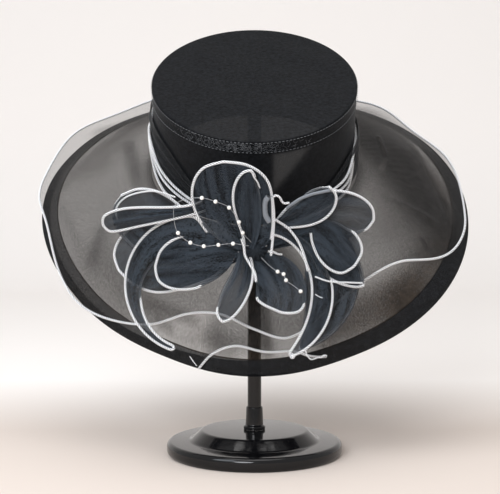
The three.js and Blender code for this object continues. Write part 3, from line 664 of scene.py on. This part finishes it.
# azimuth, and reach of the corded edge in millimetres
FLOUNCE_REACH = [
    (0, 89), (10, 97), (25, 80), (39, 70), (53, 77), (66, 105), (76, 112), (90, 112), (104, 108),
    (124, 101), (142, 109), (155, 120), (180, 124), (205, 125), (222, 137), (235, 130), (253, 124),
    (267, 118), (278, 112), (292, 121), (303, 123), (314, 116), (326, 102), (338, 82), (349, 78),
]
FLOUNCE_CLOTH = organza("flounce_organza", FLOUNCE_COLOUR, 0.40, crush=0.06)


def flounce_lift(azimuth, share):
    wave = FLOUNCE_RIPPLE * np.sin(np.radians(FLOUNCE_RIPPLES * azimuth))
    gathers = 0.00015 * np.sin(np.radians(95 * azimuth)) * np.clip(1 - 1.6 * share, 0, 1)
    return FLOUNCE_BASE_LIFT + (FLOUNCE_EDGE_LIFT - FLOUNCE_BASE_LIFT) * share + wave * share ** 2 + gathers


def make_flounce():
    azimuth, share = round_grid(600, 61)
    edge = read_table(FLOUNCE_REACH, azimuth) / 1000
    reach = FLOUNCE_START + (edge - FLOUNCE_START) * share
    extra, folded = fold_sum(FLOUNCE_FOLDS, azimuth, reach)
    lift = flounce_lift(azimuth, share) + folded * np.sin(math.pi * share) ** 0.7
    hat_places = brim_place(azimuth, reach, lift)
    places = hat_to_world(hat_places)
    layers = np.clip(1 + extra, 0.7, 9) + seam_layers(reach, FLOUNCE_SEAM_WIDTH)
    piece = cloth_piece("flounce_cloth", places, plan_weave(hat_places), FLOUNCE_CLOTH, "flounce",
                        ring=True, layers=layers)
    stations = hat_to_world(brim_place(azimuth[0], edge[0] + CORD_RADIUS / 2, flounce_lift(azimuth[0], 1.0)))
    cord = twisted_cord("flounce_edge_cord", smooth_route(stations[::3], closed=True), CORD_RADIUS,
                        WHITE_CORD, "flounce_cord", closed=True)


make_flounce()


# Under flounce: a short second layer below the bow, with its own corded edge close to the brim.
# It shows from 17 degrees on the left of the middle to 22 on the right, and is thinnest at its ends.
UNDER_FLOUNCE_START = 0.062
UNDER_FLOUNCE_LIFT = 0.003
# azimuth, and reach of the corded edge in millimetres
UNDER_FLOUNCE_REACH = [
    (-17, 131), (-14, 118), (-10, 109), (-5, 105), (3, 110), (12, 112), (17, 119), (22, 123),
]


def make_under_flounce():
    first, last = UNDER_FLOUNCE_REACH[0][0], UNDER_FLOUNCE_REACH[-1][0]
    azimuth = np.linspace(first, last, 79)[None, :]
    share = np.linspace(0, 1, 13)[:, None]
    edge = read_table(UNDER_FLOUNCE_REACH, azimuth, ring=False) / 1000
    reach = UNDER_FLOUNCE_START + (edge - UNDER_FLOUNCE_START) * share
    hat_places = brim_place(azimuth, reach, UNDER_FLOUNCE_LIFT + 0 * share)
    places = hat_to_world(hat_places)
    thin = np.clip(share / 0.5, 0, 1)
    thin = thin * np.clip((azimuth - first) / 5, 0, 1) * np.clip((last - azimuth) / 22, 0, 1)
    piece = cloth_piece("under_flounce_cloth", places, hat_places[..., :2], FLOUNCE_CLOTH,
                        "under_flounce", layers=thin)
    stations = hat_to_world(brim_place(azimuth[0], edge[0] + CORD_RADIUS / 2, UNDER_FLOUNCE_LIFT))
    cord = twisted_cord("under_flounce_edge_cord", smooth_route(stations[::6]), CORD_RADIUS, WHITE_CORD,
                        "under_flounce_cord")


make_under_flounce()


# Crown: an oval drum of doubled organza on a stiff form, 86 mm high in front and 94 mm behind.
# The flat tip is set in by a seam, with grey stitches on its edge and a 13 mm seam allowance below it.
# The allowance is frayed in front, and its loose threads show through as a scuffed strip.
CROWN_COLOUR = (0.0068, 0.0076, 0.0090)
CROWN_ROUND = 2 * math.pi * 0.0928
CROWN_TOP_CLEARANCE = 0.0012
SEAM_ALLOWANCE = 0.013
TIP_CORNER_RADIUS = 0.0015
SEAM_RIDGE = 0.0005
FRAYED_THREADS = 360
FRAY_RADIUS = 0.00006
STITCH_GAP = 0.0011
STITCH_RADIUS = 0.00024
# The doubled cloth leaves a wedge of one layer: azimuth of its upright edge, height of its lowest corner,
# and degrees by which it widens for each metre above that corner.
WINDOW_EDGE = 9
WINDOW_FOOT = 0.030
WINDOW_WIDENING = 520


def sloped(height, y):
    """Height in the crown: it grows towards the back, in proportion to how high it is."""
    return height * (1 + CROWN_SLOPE * y / (CROWN_HALF_DEPTH * CROWN_HEIGHT))


def soft_step(value, edge, softness):
    """0 below the edge and 1 above it, with a soft change between them."""
    return 1 / (1 + np.exp(-(value - edge) / softness))


def wrapped_weave(azimuth, whole_round, height):
    """Thread directions of cloth laid round the crown, running on past the first column."""
    run = np.append(azimuth[0], 360)[None, :] / 360 * whole_round
    return np.stack(np.broadcast_arrays(run, height), axis=-1)


def crown_line(azimuth, offset, below):
    """Places round the crown at a depth below its tip, moved to where the leaning hat stands."""
    line = seam_place(azimuth, offset, CROWN_HEIGHT - below)
    line[..., 2] = sloped(line[..., 2], line[..., 1])
    return hat_to_world(line)


def stitch_row(name, line, material):
    """A row of running stitches along a line: short rounded threads with gaps between them."""
    places = smooth_route(line, closed=True, step=STITCH_GAP)
    one, two = route_frames(places, True)
    turn = np.linspace(0, 2 * math.pi, 6, endpoint=False)[:, None]
    vertices, faces = [], []
    for k in range(0, len(places) - 2, 3):
        start = len(vertices) * 6
        across = np.cos(turn) * one[k] + np.sin(turn) * two[k]
        for i, size in enumerate((0.35, 1.0, 1.0, 0.35)):
            vertices.append(places[k] + (places[k + 2] - places[k]) * i / 3 + STITCH_RADIUS * size * across)
        faces += grid_faces(3, 6, ring=True, start=start)
        faces.append(list(range(start + 5, start - 1, -1)))
        faces.append(list(range(start + 18, start + 24)))
    part_piece(name, vertices, faces, material, "crown_side")


def frayed_threads(name, material):
    """Loose grey threads of the seam allowance, each a fine four-sided rod."""
    chance = np.random.default_rng(7)
    sides = ((0, 1, 5, 4), (1, 2, 6, 5), (2, 3, 7, 6), (3, 0, 4, 7), (3, 2, 1, 0), (4, 5, 6, 7))
    vertices, faces = [], []
    for k in range(FRAYED_THREADS):
        azimuth = chance.normal(-9, 15)
        below = chance.uniform(0.0035, 0.0115)
        heading = chance.uniform(0, math.pi)
        length = chance.uniform(0.0015, 0.0045)
        turn = math.degrees(length * math.cos(heading) / CROWN_HALF_WIDTH)
        rise = min(length * math.sin(heading), below - 0.0025)
        ends = crown_line(azimuth + np.array([0, turn]), 0.0002, below - np.array([0, rise]))
        across = np.cross(ends[1] - ends[0], (0.2, 0.9, 0.3))
        across *= FRAY_RADIUS / np.linalg.norm(across)
        up = np.cross(across, ends[1] - ends[0])
        up *= FRAY_RADIUS / np.linalg.norm(up)
        vertices.append(ends[:, None] + np.stack([across, up, -across, -up]))
        faces += [[8 * k + corner for corner in side] for side in sides]
    part_piece(name, vertices, faces, material, "crown_side", smooth=False)


def thread_finish(name, dark, light):
    material, tree, shader = new_material(name)
    feed(tree, shader, {
        "Base Color": ramp(tree, noise(tree, 1500.0, 2.0), dark, light, 0.3, 0.7), "Roughness": 0.5})
    return material


def make_crown_side():
    azimuth, share = round_grid(240, 61)
    height = (CROWN_HEIGHT - CROWN_TOP_CLEARANCE) * share
    hem = CROWN_HEIGHT - SEAM_ALLOWANCE
    ridge = SEAM_RIDGE * np.exp(-((height - (CROWN_HEIGHT - 0.0035)) / 0.0012) ** 2)
    places = crown_line(azimuth + 0 * height, -0.0004 + ridge, CROWN_HEIGHT - height)
    window = soft_step(azimuth, WINDOW_EDGE, 0.7) * (1 - soft_step(height, hem, 0.0010))
    window = window * (1 - soft_step(azimuth, WINDOW_EDGE + WINDOW_WIDENING * (height - WINDOW_FOOT), 1.5))
    layers = 1.8 - 0.9 * window + 0.8 * soft_step(height, hem, 0.0005)
    cloth = organza("crown_side_cloth", CROWN_COLOUR, 0.975, crush=0.10, sheen=0.015, gloss=0.07)
    side = cloth_piece("crown_side_cloth", places, wrapped_weave(azimuth, CROWN_ROUND, height), cloth,
                       "crown_side", ring=True, layers=layers)


def make_crown_tip():
    azimuth = np.linspace(0, 360, 240, endpoint=False)[None, :]
    radius = TIP_CORNER_RADIUS
    corner = np.linspace(0, math.pi / 2, 6)[1:]
    flat = np.linspace(0, 1, 41)[1:]
    inward = np.concatenate([
        [0], radius * (1 - np.cos(corner)), radius + flat * (CROWN_HALF_WIDTH - radius - 0.0004)])[:, None]
    drop = np.concatenate([[radius], radius * (1 - np.sin(corner)), 0 * flat])[:, None]
    angle = np.radians(azimuth)
    x = (CROWN_HALF_WIDTH - inward) * np.sin(angle)
    y = -(CROWN_HALF_WIDTH - inward) * np.cos(angle) * CROWN_HALF_DEPTH / CROWN_HALF_WIDTH
    rumple = 0.0005 * np.sin(90 * x + 40 * y + 1) * np.sin(70 * y - 25 * x)
    rumple += 0.0004 * np.exp(-((y + 0.02 - 0.25 * x) / 0.006) ** 2) * np.clip(-x / CROWN_HALF_WIDTH, 0, 1)
    rumple *= np.clip(inward / 0.02, 0, 1)
    hat_places = np.stack([x, y, sloped(CROWN_HEIGHT - drop - 0.0004 + rumple, y)], axis=-1)
    places = hat_to_world(hat_places)
    cloth = organza("crown_tip_cloth", CROWN_COLOUR, 0.99, crush=0.12, sheen=0.01, cloud=0.5, gloss=0.06)
    tip = cloth_piece("crown_tip_cloth", places, plan_weave(hat_places), cloth, "crown_tip",
                      ring=True)


make_crown_side()
make_crown_tip()
GREY_THREAD = thread_finish("grey_thread", (0.05, 0.055, 0.06), (0.22, 0.23, 0.25))
STITCHED_ROUND = np.linspace(0, 360, 72, endpoint=False)
stitch_row("tip_seam_stitches", crown_line(STITCHED_ROUND, 0.0004, 0.0022), GREY_THREAD)
stitch_row("allowance_stitches", crown_line(STITCHED_ROUND, 0.0003, 0.0120), GREY_THREAD)
frayed_threads("allowance_fray", GREY_THREAD)


# Hat band: a swathe of organza in soft folds round the crown, 60 mm high behind and 10 mm in front.
# Three white cords lie over it, from the bow round the back to the bow again, and dip under it at both
# sides. Below are azimuth and height above the head seam in millimetres.
HAT_BAND_FOOT = 0.004
HAT_BAND_TOP = [
    (0, 13), (25, 17), (45, 26), (66, 40), (90, 45), (130, 50), (180, 56), (240, 62), (280, 63),
    (306, 54), (325, 33), (342, 18),
]
HAT_BAND_ROUND = 2 * math.pi * 0.0945
HAT_BAND_COLOUR = (0.0085, 0.0095, 0.0110)
BAND_OFFSET = 0.0012
BAND_FOLD_DEPTH = 0.0018
BAND_OVER_CORDS = 0.0013
BAND_CORD_OFFSET = 0.0046
BAND_CORD_UNDER = 0.0009
BAND_CORDS = {
    "hat_band_cord_low": [
        (47, 6), (57, 7), (62, 11), (66, 19), (80, 28), (110, 34), (180, 42), (230, 48), (262, 49),
        (276, 42), (285, 29), (292, 17), (301, 10), (314, 6),
    ],
    "hat_band_cord_middle": [
        (50, 14), (60, 16), (67, 24), (80, 32), (110, 38), (180, 46), (230, 52), (262, 53), (276, 46),
        (288, 36), (296, 25), (306, 19), (327, 13),
    ],
    "hat_band_cord_high": [
        (44, 20), (58, 23), (67, 34), (80, 37), (110, 42), (180, 50), (230, 56), (262, 57), (276, 50),
        (288, 41), (297, 31), (308, 25), (327, 17),
    ],
}


def band_over_cords(azimuth):
    """Share to which the swathe lies over the cords: 1 at the two sides, 0 in front and behind."""
    return np.exp(-((azimuth - 98) / 30) ** 8) + np.exp(-((azimuth - 252) / 23) ** 8)


def make_hat_band():
    azimuth, share = round_grid(300, 61)
    top = read_table(HAT_BAND_TOP, azimuth) / 1000
    slack = 0.15 * np.sin(np.radians(2 * azimuth) + 5 * share)
    fold = 0.5 - 0.5 * np.cos(2 * math.pi * (4 * share + slack))
    offset = BAND_OFFSET + BAND_FOLD_DEPTH * fold ** 1.5 + BAND_OVER_CORDS * band_over_cords(azimuth)
    places = hat_to_world(seam_place(azimuth, offset, HAT_BAND_FOOT + (top - HAT_BAND_FOOT) * share))
    cloth = organza("hat_band_organza", HAT_BAND_COLOUR, 0.86, crush=0.15)
    piece = cloth_piece("hat_band_cloth", places, wrapped_weave(azimuth, HAT_BAND_ROUND, 0.08 * share),
                        cloth, "hat_band", ring=True)
    for node, route in BAND_CORDS.items():
        along = np.linspace(route[0][0], route[-1][0], 90)
        height = read_table(route, along, ring=False) / 1000
        offset = BAND_CORD_OFFSET + (BAND_CORD_UNDER - BAND_CORD_OFFSET) * band_over_cords(along)
        stations = hat_to_world(seam_place(along, offset, height))
        name = node.replace("hat_band_cord", "band_cord")
        twisted_cord(name, smooth_route(stations), CORD_RADIUS, WHITE_CORD, node)


make_hat_band()


# Bow: loops and tails of crisp corded organza gathered in one knot at the front of the crown.
# Each lies on its own level in front of the hat, and folds run out of the knot along it.
KNOT = np.array((0.0, -0.067, 0.190))
BOW_BACK = 0.064
BOW_WAIST_HEIGHT = 0.005
BOW_WAIST_SIZE = 0.020
BOW_LEAN = 0.36
BOW_TILT = 0.05
BOW_SWEEP = 0.016
BOW_SWEEP_WIDTH = 0.060
BOW_LEVEL_STEP = 0.003
BOW_LEVEL_SPREAD = 0.03
STALK_HALF_WIDTH = 0.004
TIP_ROUNDING = 0.0035
BOW_COLOUR = (0.0165, 0.0215, 0.0280)
TUCK_DEPTH = 0.0022
TUCK_SOFTNESS = 0.015
KNOT_HALF_SIZE = (0.0118, 0.0180, 0.0108)
CUP_DEPTH = 0.0016
FOLD_LAYERS = 1.6
ROOT_LAYERS = 2.6
ROOT_SHARE = 0.20
# Where an edge cord lies tucked behind the cloth: on the side below the middle line (-1) or above it (1),
# from and to a share of the loop's length.
TUCKED_EDGES = {
    "bow_tail_right_back": {-1: (0, 1.2), 1: (0, 1.2)},
    "bow_tail_left": {1: (-0.2, 0.62)},
    "bow_tail_centre": {1: (-0.2, 0.45)},
    "bow_loop_left_high": {1: (-0.2, 1.2)},
    "bow_tail_right": {1: (-0.2, 1.2)},
    "bow_loop_right_high_back": {-1: (-0.2, 0.93)},
    "bow_loop_left_low": {-1: (-0.2, 0.15), 1: (-0.2, 0.50)},
    "bow_loop_right_low": {-1: (-0.2, 0.70), 1: (0.25, 0.85)},
    "bow_loop_right_middle": {1: (-0.2, 0.50)},
    "bow_loop_centre_low": {-1: (-0.2, 0.85)},
    "bow_loop_right_high": {1: (-0.2, 1.2)},
    "bow_loop_top": {1: (-0.2, 0.52)},
    "bow_loop_centre_high": {-1: (-0.2, 0.94)},
}
# Levels by which the root of a tail rises in front of the loops that it crosses.
RAISED_ROOTS = {"bow_tail_centre": 5.0, "bow_tail_left": 2.6}
# Layers of cloth that lie on each other in a loop, where it isn't one.
LOOP_LAYERS = {"bow_loop_right_low": 1.5, "bow_loop_left_high": 1.2, "bow_loop_centre_low": 0.8}
# name, level, root across and up from the knot, heading, turn and hook in degrees in the front view,
# length, width, fullness, taper, end width; roots, lengths and widths in millimetres
BOW_LOOPS = [
    ("bow_tail_right_back", 0, 56, 11, -56, -107, 27, 105, 44, 0.6, 0.95, 3),
    ("bow_loop_left_low_back", 0, -26, -14, 165, 14, 36, 94, 60, 0.75, 0.49, 0),
    ("bow_tail_left", 1, -41, 10, 164, 180, 0, 152, 23, 0.25, 1.5, 4),
    ("bow_tail_centre", 1, 17, 16, -16, -141, 10, 131, 15, 1.6, 1, 3),
    ("bow_loop_left_high", 2, -31, 4, 183, -63, 5, 94, 53, 0.89, 0.49, 0),
    ("bow_tail_right", 2, 48, 8, -38, -14, 8, 59, 29, 0.78, 0.87, 3),
    ("bow_loop_right_high_back", 3, 19, 9, 36, -49, -4, 85, 42, 0.66, 0.52, 0),
    ("bow_loop_left_low", 3, -17, -4, 177, 80, -82, 68, 43, 0.6, 0.43, 0),
    ("bow_loop_right_low", 3, -1, -7, -27, -61, -18, 55, 42, 0.91, 0.41, 0),
    ("bow_loop_left_narrow", 4, -42, 36, 201, -63, 65, 87, 17, 1.5, 0.32, 0),
    ("bow_loop_right_middle", 4, 48, 17, -18, -91, 66, 48, 35, 0.68, 0.4, 0),
    ("bow_loop_centre_low", 4, -11, -2, -68, -154, 120, 61, 20, 1.03, 0.6, 0),
    ("bow_loop_right_high", 5, 19, 20, 28, -33, 77, 54, 26, 1.3, 0.6, 0),
    ("bow_loop_top", 6, 11, 5, 145, -56, 4, 79, 63, 0.74, 0.45, 0),
    ("bow_loop_centre_high", 7, -5, 1, 74, 103, -111, 65, 22, 1.18, 0.65, 0),
]


def bow_depth(x, z, level):
    """How far in front of the stand's axis a bow level lies at a place in the front view."""
    rise = z - KNOT[2] - BOW_WAIST_HEIGHT
    lean = BOW_LEAN * (np.hypot(rise, BOW_WAIST_SIZE) - BOW_WAIST_SIZE) + BOW_TILT * rise
    sweep = BOW_SWEEP * (np.hypot(x / BOW_SWEEP_WIDTH, 1) - 1)
    away = np.hypot(x, z - KNOT[2])
    return -BOW_BACK - lean + sweep - level * (BOW_LEVEL_STEP + BOW_LEVEL_SPREAD * away)


class BowLoop:
    """One loop or tail: its outline, its surface and its edge cord in the front view."""

    def __init__(self, row):
        (self.name, self.level, root_x, root_z, self.heading, self.turn, self.hook,
         length, width, self.fullness, self.taper, end_width) = row
        self.root_x, self.root_z = root_x / 1000, root_z / 1000
        self.length, self.width, self.end_width = length / 1000, width / 1000, end_width / 1000
        self.spine_t = np.linspace(0, 1, 201)
        middle = (self.spine_t[1:] + self.spine_t[:-1]) / 2
        angle = np.radians(self.heading + self.turn * middle + self.hook * middle ** 2)
        step = self.length / 200
        self.spine_x = self.root_x + np.concatenate([[0], np.cumsum(np.cos(angle)) * step])
        self.spine_z = self.root_z + np.concatenate([[0], np.cumsum(np.sin(angle)) * step])
        self.has_stalk = math.hypot(self.root_x, self.root_z) > 0.013

    def half_width(self, t):
        widest = self.fullness / (self.fullness + self.taper)
        swell = t ** self.fullness * (1 - t) ** self.taper
        most = widest ** self.fullness * (1 - widest) ** self.taper
        end = 1 - TIP_ROUNDING / self.length
        past = np.clip((t - end) / (1 - end), 0, 1)
        body = (STALK_HALF_WIDTH * (1 - t) ** 2 + self.width / 2 * swell / most
                + self.end_width / 2 * t * t)
        return body * np.sqrt(1 - past ** 2)

    def front_view(self, t, side):
        """Places in the front view: t from the root to the tip, below 0 along the stalk, side -1 to 1."""
        t, side = np.broadcast_arrays(t, side)
        on_loop = np.clip(t, 0, 1)
        angle = np.radians(self.heading + self.turn * on_loop + self.hook * on_loop ** 2)
        half = self.half_width(on_loop)
        x = np.interp(on_loop, self.spine_t, self.spine_x) - np.sin(angle) * half * side
        z = np.interp(on_loop, self.spine_t, self.spine_z) + np.cos(angle) * half * side
        reach = max(math.hypot(self.root_x, self.root_z), 1e-6)
        stalk_x = -self.root_z / reach * STALK_HALF_WIDTH * side
        stalk_z = self.root_x / reach * STALK_HALF_WIDTH * side
        back = np.clip(-t, 0, 1)
        return x * (1 - back) + stalk_x * back, KNOT[2] + z * (1 - back) + stalk_z * back

    def surface(self, t, side, relief):
        x, z = self.front_view(t, side)
        level = self.level + RAISED_ROOTS.get(self.name, 0) * (1 - np.clip(t, 0, 1)) ** 2
        return np.stack([x, bow_depth(x, z, level) - relief, z], axis=-1)

    def edge(self, side):
        """Stations of the cord on one edge from root to tip, behind the cloth where it is tucked."""
        t = np.sin(np.linspace(0, math.pi / 2, 25))[:-1]
        low, high = TUCKED_EDGES.get(self.name, {}).get(side, (2, 2))
        tucked = soft_step(t, low, TUCK_SOFTNESS) * (1 - soft_step(t, high, TUCK_SOFTNESS))
        inset = 1.5 * CORD_RADIUS * tucked / np.maximum(self.half_width(t), 0.004)
        return self.surface(t, side * (1 - inset), -TUCK_DEPTH * tucked)


def bow_relief(loop, t, side, seed):
    """Cup and folds of a loop, and its layers: crisp folds run out of the knot and fade to the tip."""
    chance = np.random.default_rng(seed)
    along = np.clip(t, 0, 1)
    cup = CUP_DEPTH * np.sin(math.pi * along) * (1 - side ** 2)
    folds = np.zeros_like(cup)
    layers = LOOP_LAYERS.get(loop.name, 1) + ROOT_LAYERS * np.exp(-along / ROOT_SHARE)
    for _ in range(6):
        middle = chance.uniform(-0.8, 0.8)
        width = chance.uniform(0.07, 0.20)
        height = chance.choice((-1, 1)) * chance.uniform(0.0010, 0.0028)
        drift = chance.uniform(-0.3, 0.3)
        fade = np.clip(1 - along / chance.uniform(0.5, 1.1), 0, 1) * np.clip(0.25 + 3 * along, 0, 1)
        across = np.exp(-np.abs((side - middle - drift * along) / width) ** 1.4) * fade
        folds += height * across
        layers += FOLD_LAYERS * across
    return cup + folds * (1 - side ** 4), layers


def make_bow_loop(row, seed, cloth):
    loop = BowLoop(row)
    t = np.sin(np.linspace(0, math.pi / 2, 41))
    if loop.has_stalk:
        t = np.concatenate([np.linspace(-1, 0, 7)[:-1], t])
    t = t[:, None] * np.where(t[:, None] > 0, 0.995, 1)
    side = np.linspace(-1, 1, 41)[None, :]
    t, side = np.broadcast_arrays(t, side)
    relief, layers = bow_relief(loop, t, side, seed)
    places = loop.surface(t, side, relief)
    half = np.maximum(loop.half_width(np.clip(t, 0, 1)), 0.001)
    weave = np.stack([half * side, t * loop.length], axis=-1)
    piece = cloth_piece(loop.name + "_cloth", places, weave, cloth, loop.name, layers=layers)
    tip = loop.surface(np.array([1.0]), 0, 0.0)
    stations = np.concatenate([loop.edge(-1), tip, loop.edge(1)[::-1]])
    cord = twisted_cord(loop.name + "_edge_cord", smooth_route(stations), CORD_RADIUS, WHITE_CORD,
                        loop.name + "_cord")


def make_knot(cloth):
    """The gathered middle: a small pleated bundle with the pleats turning round it."""
    azimuth = np.linspace(0, 360, 120, endpoint=False)[None, :]
    angle = np.radians(azimuth)
    height = np.linspace(-0.98, 0.25, 33)[:, None] * math.pi / 2
    pleat = 1 + 0.07 * np.sin(13 * angle + 2.5 * height) + 0.05 * np.sin(5 * angle - 4 * height)
    ring = np.cos(height) * pleat
    places = KNOT + KNOT_HALF_SIZE * np.stack([
        ring * np.cos(angle), np.sin(height) + 0 * angle, ring * np.sin(angle)], axis=-1)
    weave = wrapped_weave(azimuth, 2 * math.pi * 0.011, height * 0.018)
    piece = cloth_piece("bow_knot_cloth", places, weave, cloth, "bow_knot", ring=True)


# The bow's strong cloud and streak are painted soft highlights and painted dark creases on its loops.
BOW_CLOTH = organza("bow_organza", BOW_COLOUR, 0.70, crush=0.45, sheen=0.08, cloud=0.98, streak=0.9)
make_knot(organza("bow_knot_organza", BOW_COLOUR, 0.95, crush=0.4))
for number, loop_row in enumerate(BOW_LOOPS):
    make_bow_loop(loop_row, 100 + number, BOW_CLOTH)


# Loose ends of the bow: short lengths of the same cord where it doubles, crosses over or was cut,
# and two strips of thick netted braid, all caught in the knot or sewn on a loop.
# name, level, radius, plies, places across and up from the knot in millimetres
BOW_ENDS = [
    ("end_centre_straight", 7.8, 0.0012, 3, [(14, 44), (15.5, 29), (15, 12), (13.3, -5)]),
    ("end_centre_crossing", 8.0, 0.0012, 3, [(-11, 9), (-9, 2), (-8, -5), (-4, -12), (0, -19), (1, -26)]),
    ("end_top_inner", 7.6, 0.0006, 3, [(-3, 65), (-1, 60), (2, 56), (4, 51)]),
    ("end_centre_hook", 7.8, 0.0010, 3, [(15, 44), (17, 45), (20, 43.5), (22, 40), (24, 38.5), (28, 39)]),
    ("braid_centre", 6.4, 0.0024, 5, [(11, 44), (8.5, 40), (8, 34), (9, 28), (12, 23)]),
    ("braid_right_high", 5.6, 0.0014, 5, [(26, 34), (31, 38), (37, 42), (43, 44.5), (49, 46.5), (61, 49)]),
    ("end_centre_tail", 5.6, 0.0012, 3, [
        (14, 26), (21, 22), (28, 17), (35, 8), (39, 0), (42, -9), (44, -18),
    ]),
    ("end_right_middle", 4.3, 0.0008, 3, [(50, -23), (62, -27), (78, -28), (90, -28.5)]),
    ("end_right_low", 4.8, 0.0004, 3, [(50, -37), (53, -39), (56, -40)]),
    ("end_low_cut", 3.6, 0.0009, 3, [(16, -3), (19, -4.5), (23, -5)]),
    ("end_tail_squiggle", 1.5, 0.0006, 3, [
        (42, -84), (43.5, -88), (46.5, -91), (50, -90.5), (53, -89.5), (55, -90), (57, -88), (60, -88.5),
    ]),
    ("end_hem_thread", 1.3, 0.0004, 3, [(-54, -89), (-51, -93), (-48, -96.5)]),
    ("end_left_inner", 2.6, 0.0008, 3, [
        (-66, 43), (-78, 47), (-87, 48), (-98, 46.4), (-107.5, 43), (-114, 37.4), (-117, 31), (-116, 24),
    ]),
    ("end_tail_knot", 1.7, 0.0012, 3, [(30, -88), (31.5, -86.5), (32.5, -88), (31, -89.5), (29.5, -88)]),
]
NETTED_BRAID = white_cord("netted_braid", (0.015, 0.017, 0.02), (0.20, 0.22, 0.25))
for end_name, end_level, end_radius, end_plies, end_places in BOW_ENDS:
    end_x, end_rise = np.array(end_places).T / 1000
    end_z = KNOT[2] + end_rise
    end_line = np.stack([end_x, bow_depth(end_x, end_z, end_level), end_z], axis=-1)
    end_finish = WHITE_CORD if end_plies == 3 else NETTED_BRAID
    twisted_cord(end_name, smooth_route(end_line), end_radius, end_finish, plies=end_plies)


# Bead stems: pearls 3.4 mm across threaded on fine wire that springs out of the knot.
# Places are across and up from the knot in millimetres. The first value is the stem's level, and the
# list after it says on which places of the wire a pearl sits.
PEARL_RADIUS = 0.0017
WIRE_RADIUS = 0.0003
BEAD_STEMS = {
    "bead_stem_left": (8, (1, 2, 3, 4, 5, 9, 10, 11, 12, 13), [
        (-3, 6), (-10, 14), (-13, 23), (-21, 35), (-32, 40), (-43, 43), (-56, 42), (-65, 37), (-66, 26),
        (-63, 14), (-53, 6), (-42, 3), (-30, 4), (-18, 5), (-5, 3),
    ]),
    "bead_stem_right": (4, (2, 3, 4, 6), [
        (5, -7), (12, -14), (19, -19), (24, -21), (26, -26), (33, -31), (38, -35),
    ]),
}


def pearl_finish():
    material, tree, shader = new_material("pearl")
    cloud = noise(tree, 500.0, 2.0)
    feed(tree, shader, {
        "Base Color": ramp(tree, cloud, (0.80, 0.78, 0.74), (0.93, 0.92, 0.90), 0.3, 0.7),
        "Roughness": ramp(tree, cloud, (0.18, 0.18, 0.18), (0.32, 0.32, 0.32), 0.3, 0.7),
        "Coat Weight": 0.5,
    })
    return material


def wire_finish():
    material, tree, shader = new_material("stem_wire")
    feed(tree, shader, {
        "Base Color": ramp(tree, noise(tree, 300.0, 3.0), (0.30, 0.31, 0.33), (0.55, 0.56, 0.58), 0.3, 0.7),
        "Metallic": 0.6,
        "Roughness": 0.35,
    })
    return material


def round_bead(middle, radius, start):
    """Vertices and faces of one bead, its faces counted on from the vertex number start."""
    rings, sides = 10, 16
    tilt = np.linspace(0, math.pi, rings + 1)[1:-1, None]
    turn = np.linspace(0, 2 * math.pi, sides, endpoint=False)
    body = np.stack(np.broadcast_arrays(
        np.sin(tilt) * np.cos(turn), np.sin(tilt) * np.sin(turn), np.cos(tilt)), axis=-1).reshape(-1, 3)
    vertices = np.concatenate([body, [[0, 0, 1], [0, 0, -1]]]) * radius + middle
    faces = grid_faces(len(tilt) - 1, sides, ring=True, start=start)
    top, bottom, last = start + len(body), start + len(body) + 1, start + len(body) - sides
    for k in range(sides):
        after = (k + 1) % sides
        faces.append([top, start + after, start + k])
        faces.append([bottom, last + k, last + after])
    return vertices, faces


def make_bead_stem(node, level, pearls, places, pearl, wire):
    x, rise = np.array(places).T / 1000
    z = KNOT[2] + rise
    stations = np.stack([x, bow_depth(x, z, level), z], axis=-1)
    vertices, faces = [], []
    for place in pearls:
        bead, sides = round_bead(stations[place], PEARL_RADIUS, sum(map(len, vertices)))
        vertices.append(bead)
        faces += sides
    part_piece(node + "_pearls", vertices, faces, pearl, node)
    twisted_cord(node + "_wire", smooth_route(stations), WIRE_RADIUS, wire, node, plies=2, sides=5)


WIRE_FINISH = wire_finish()
PEARL_FINISH = pearl_finish()
for stem, (stem_level, stem_pearls, stem_places) in BEAD_STEMS.items():
    make_bead_stem(stem, stem_level, stem_pearls, stem_places, PEARL_FINISH, WIRE_FINISH)
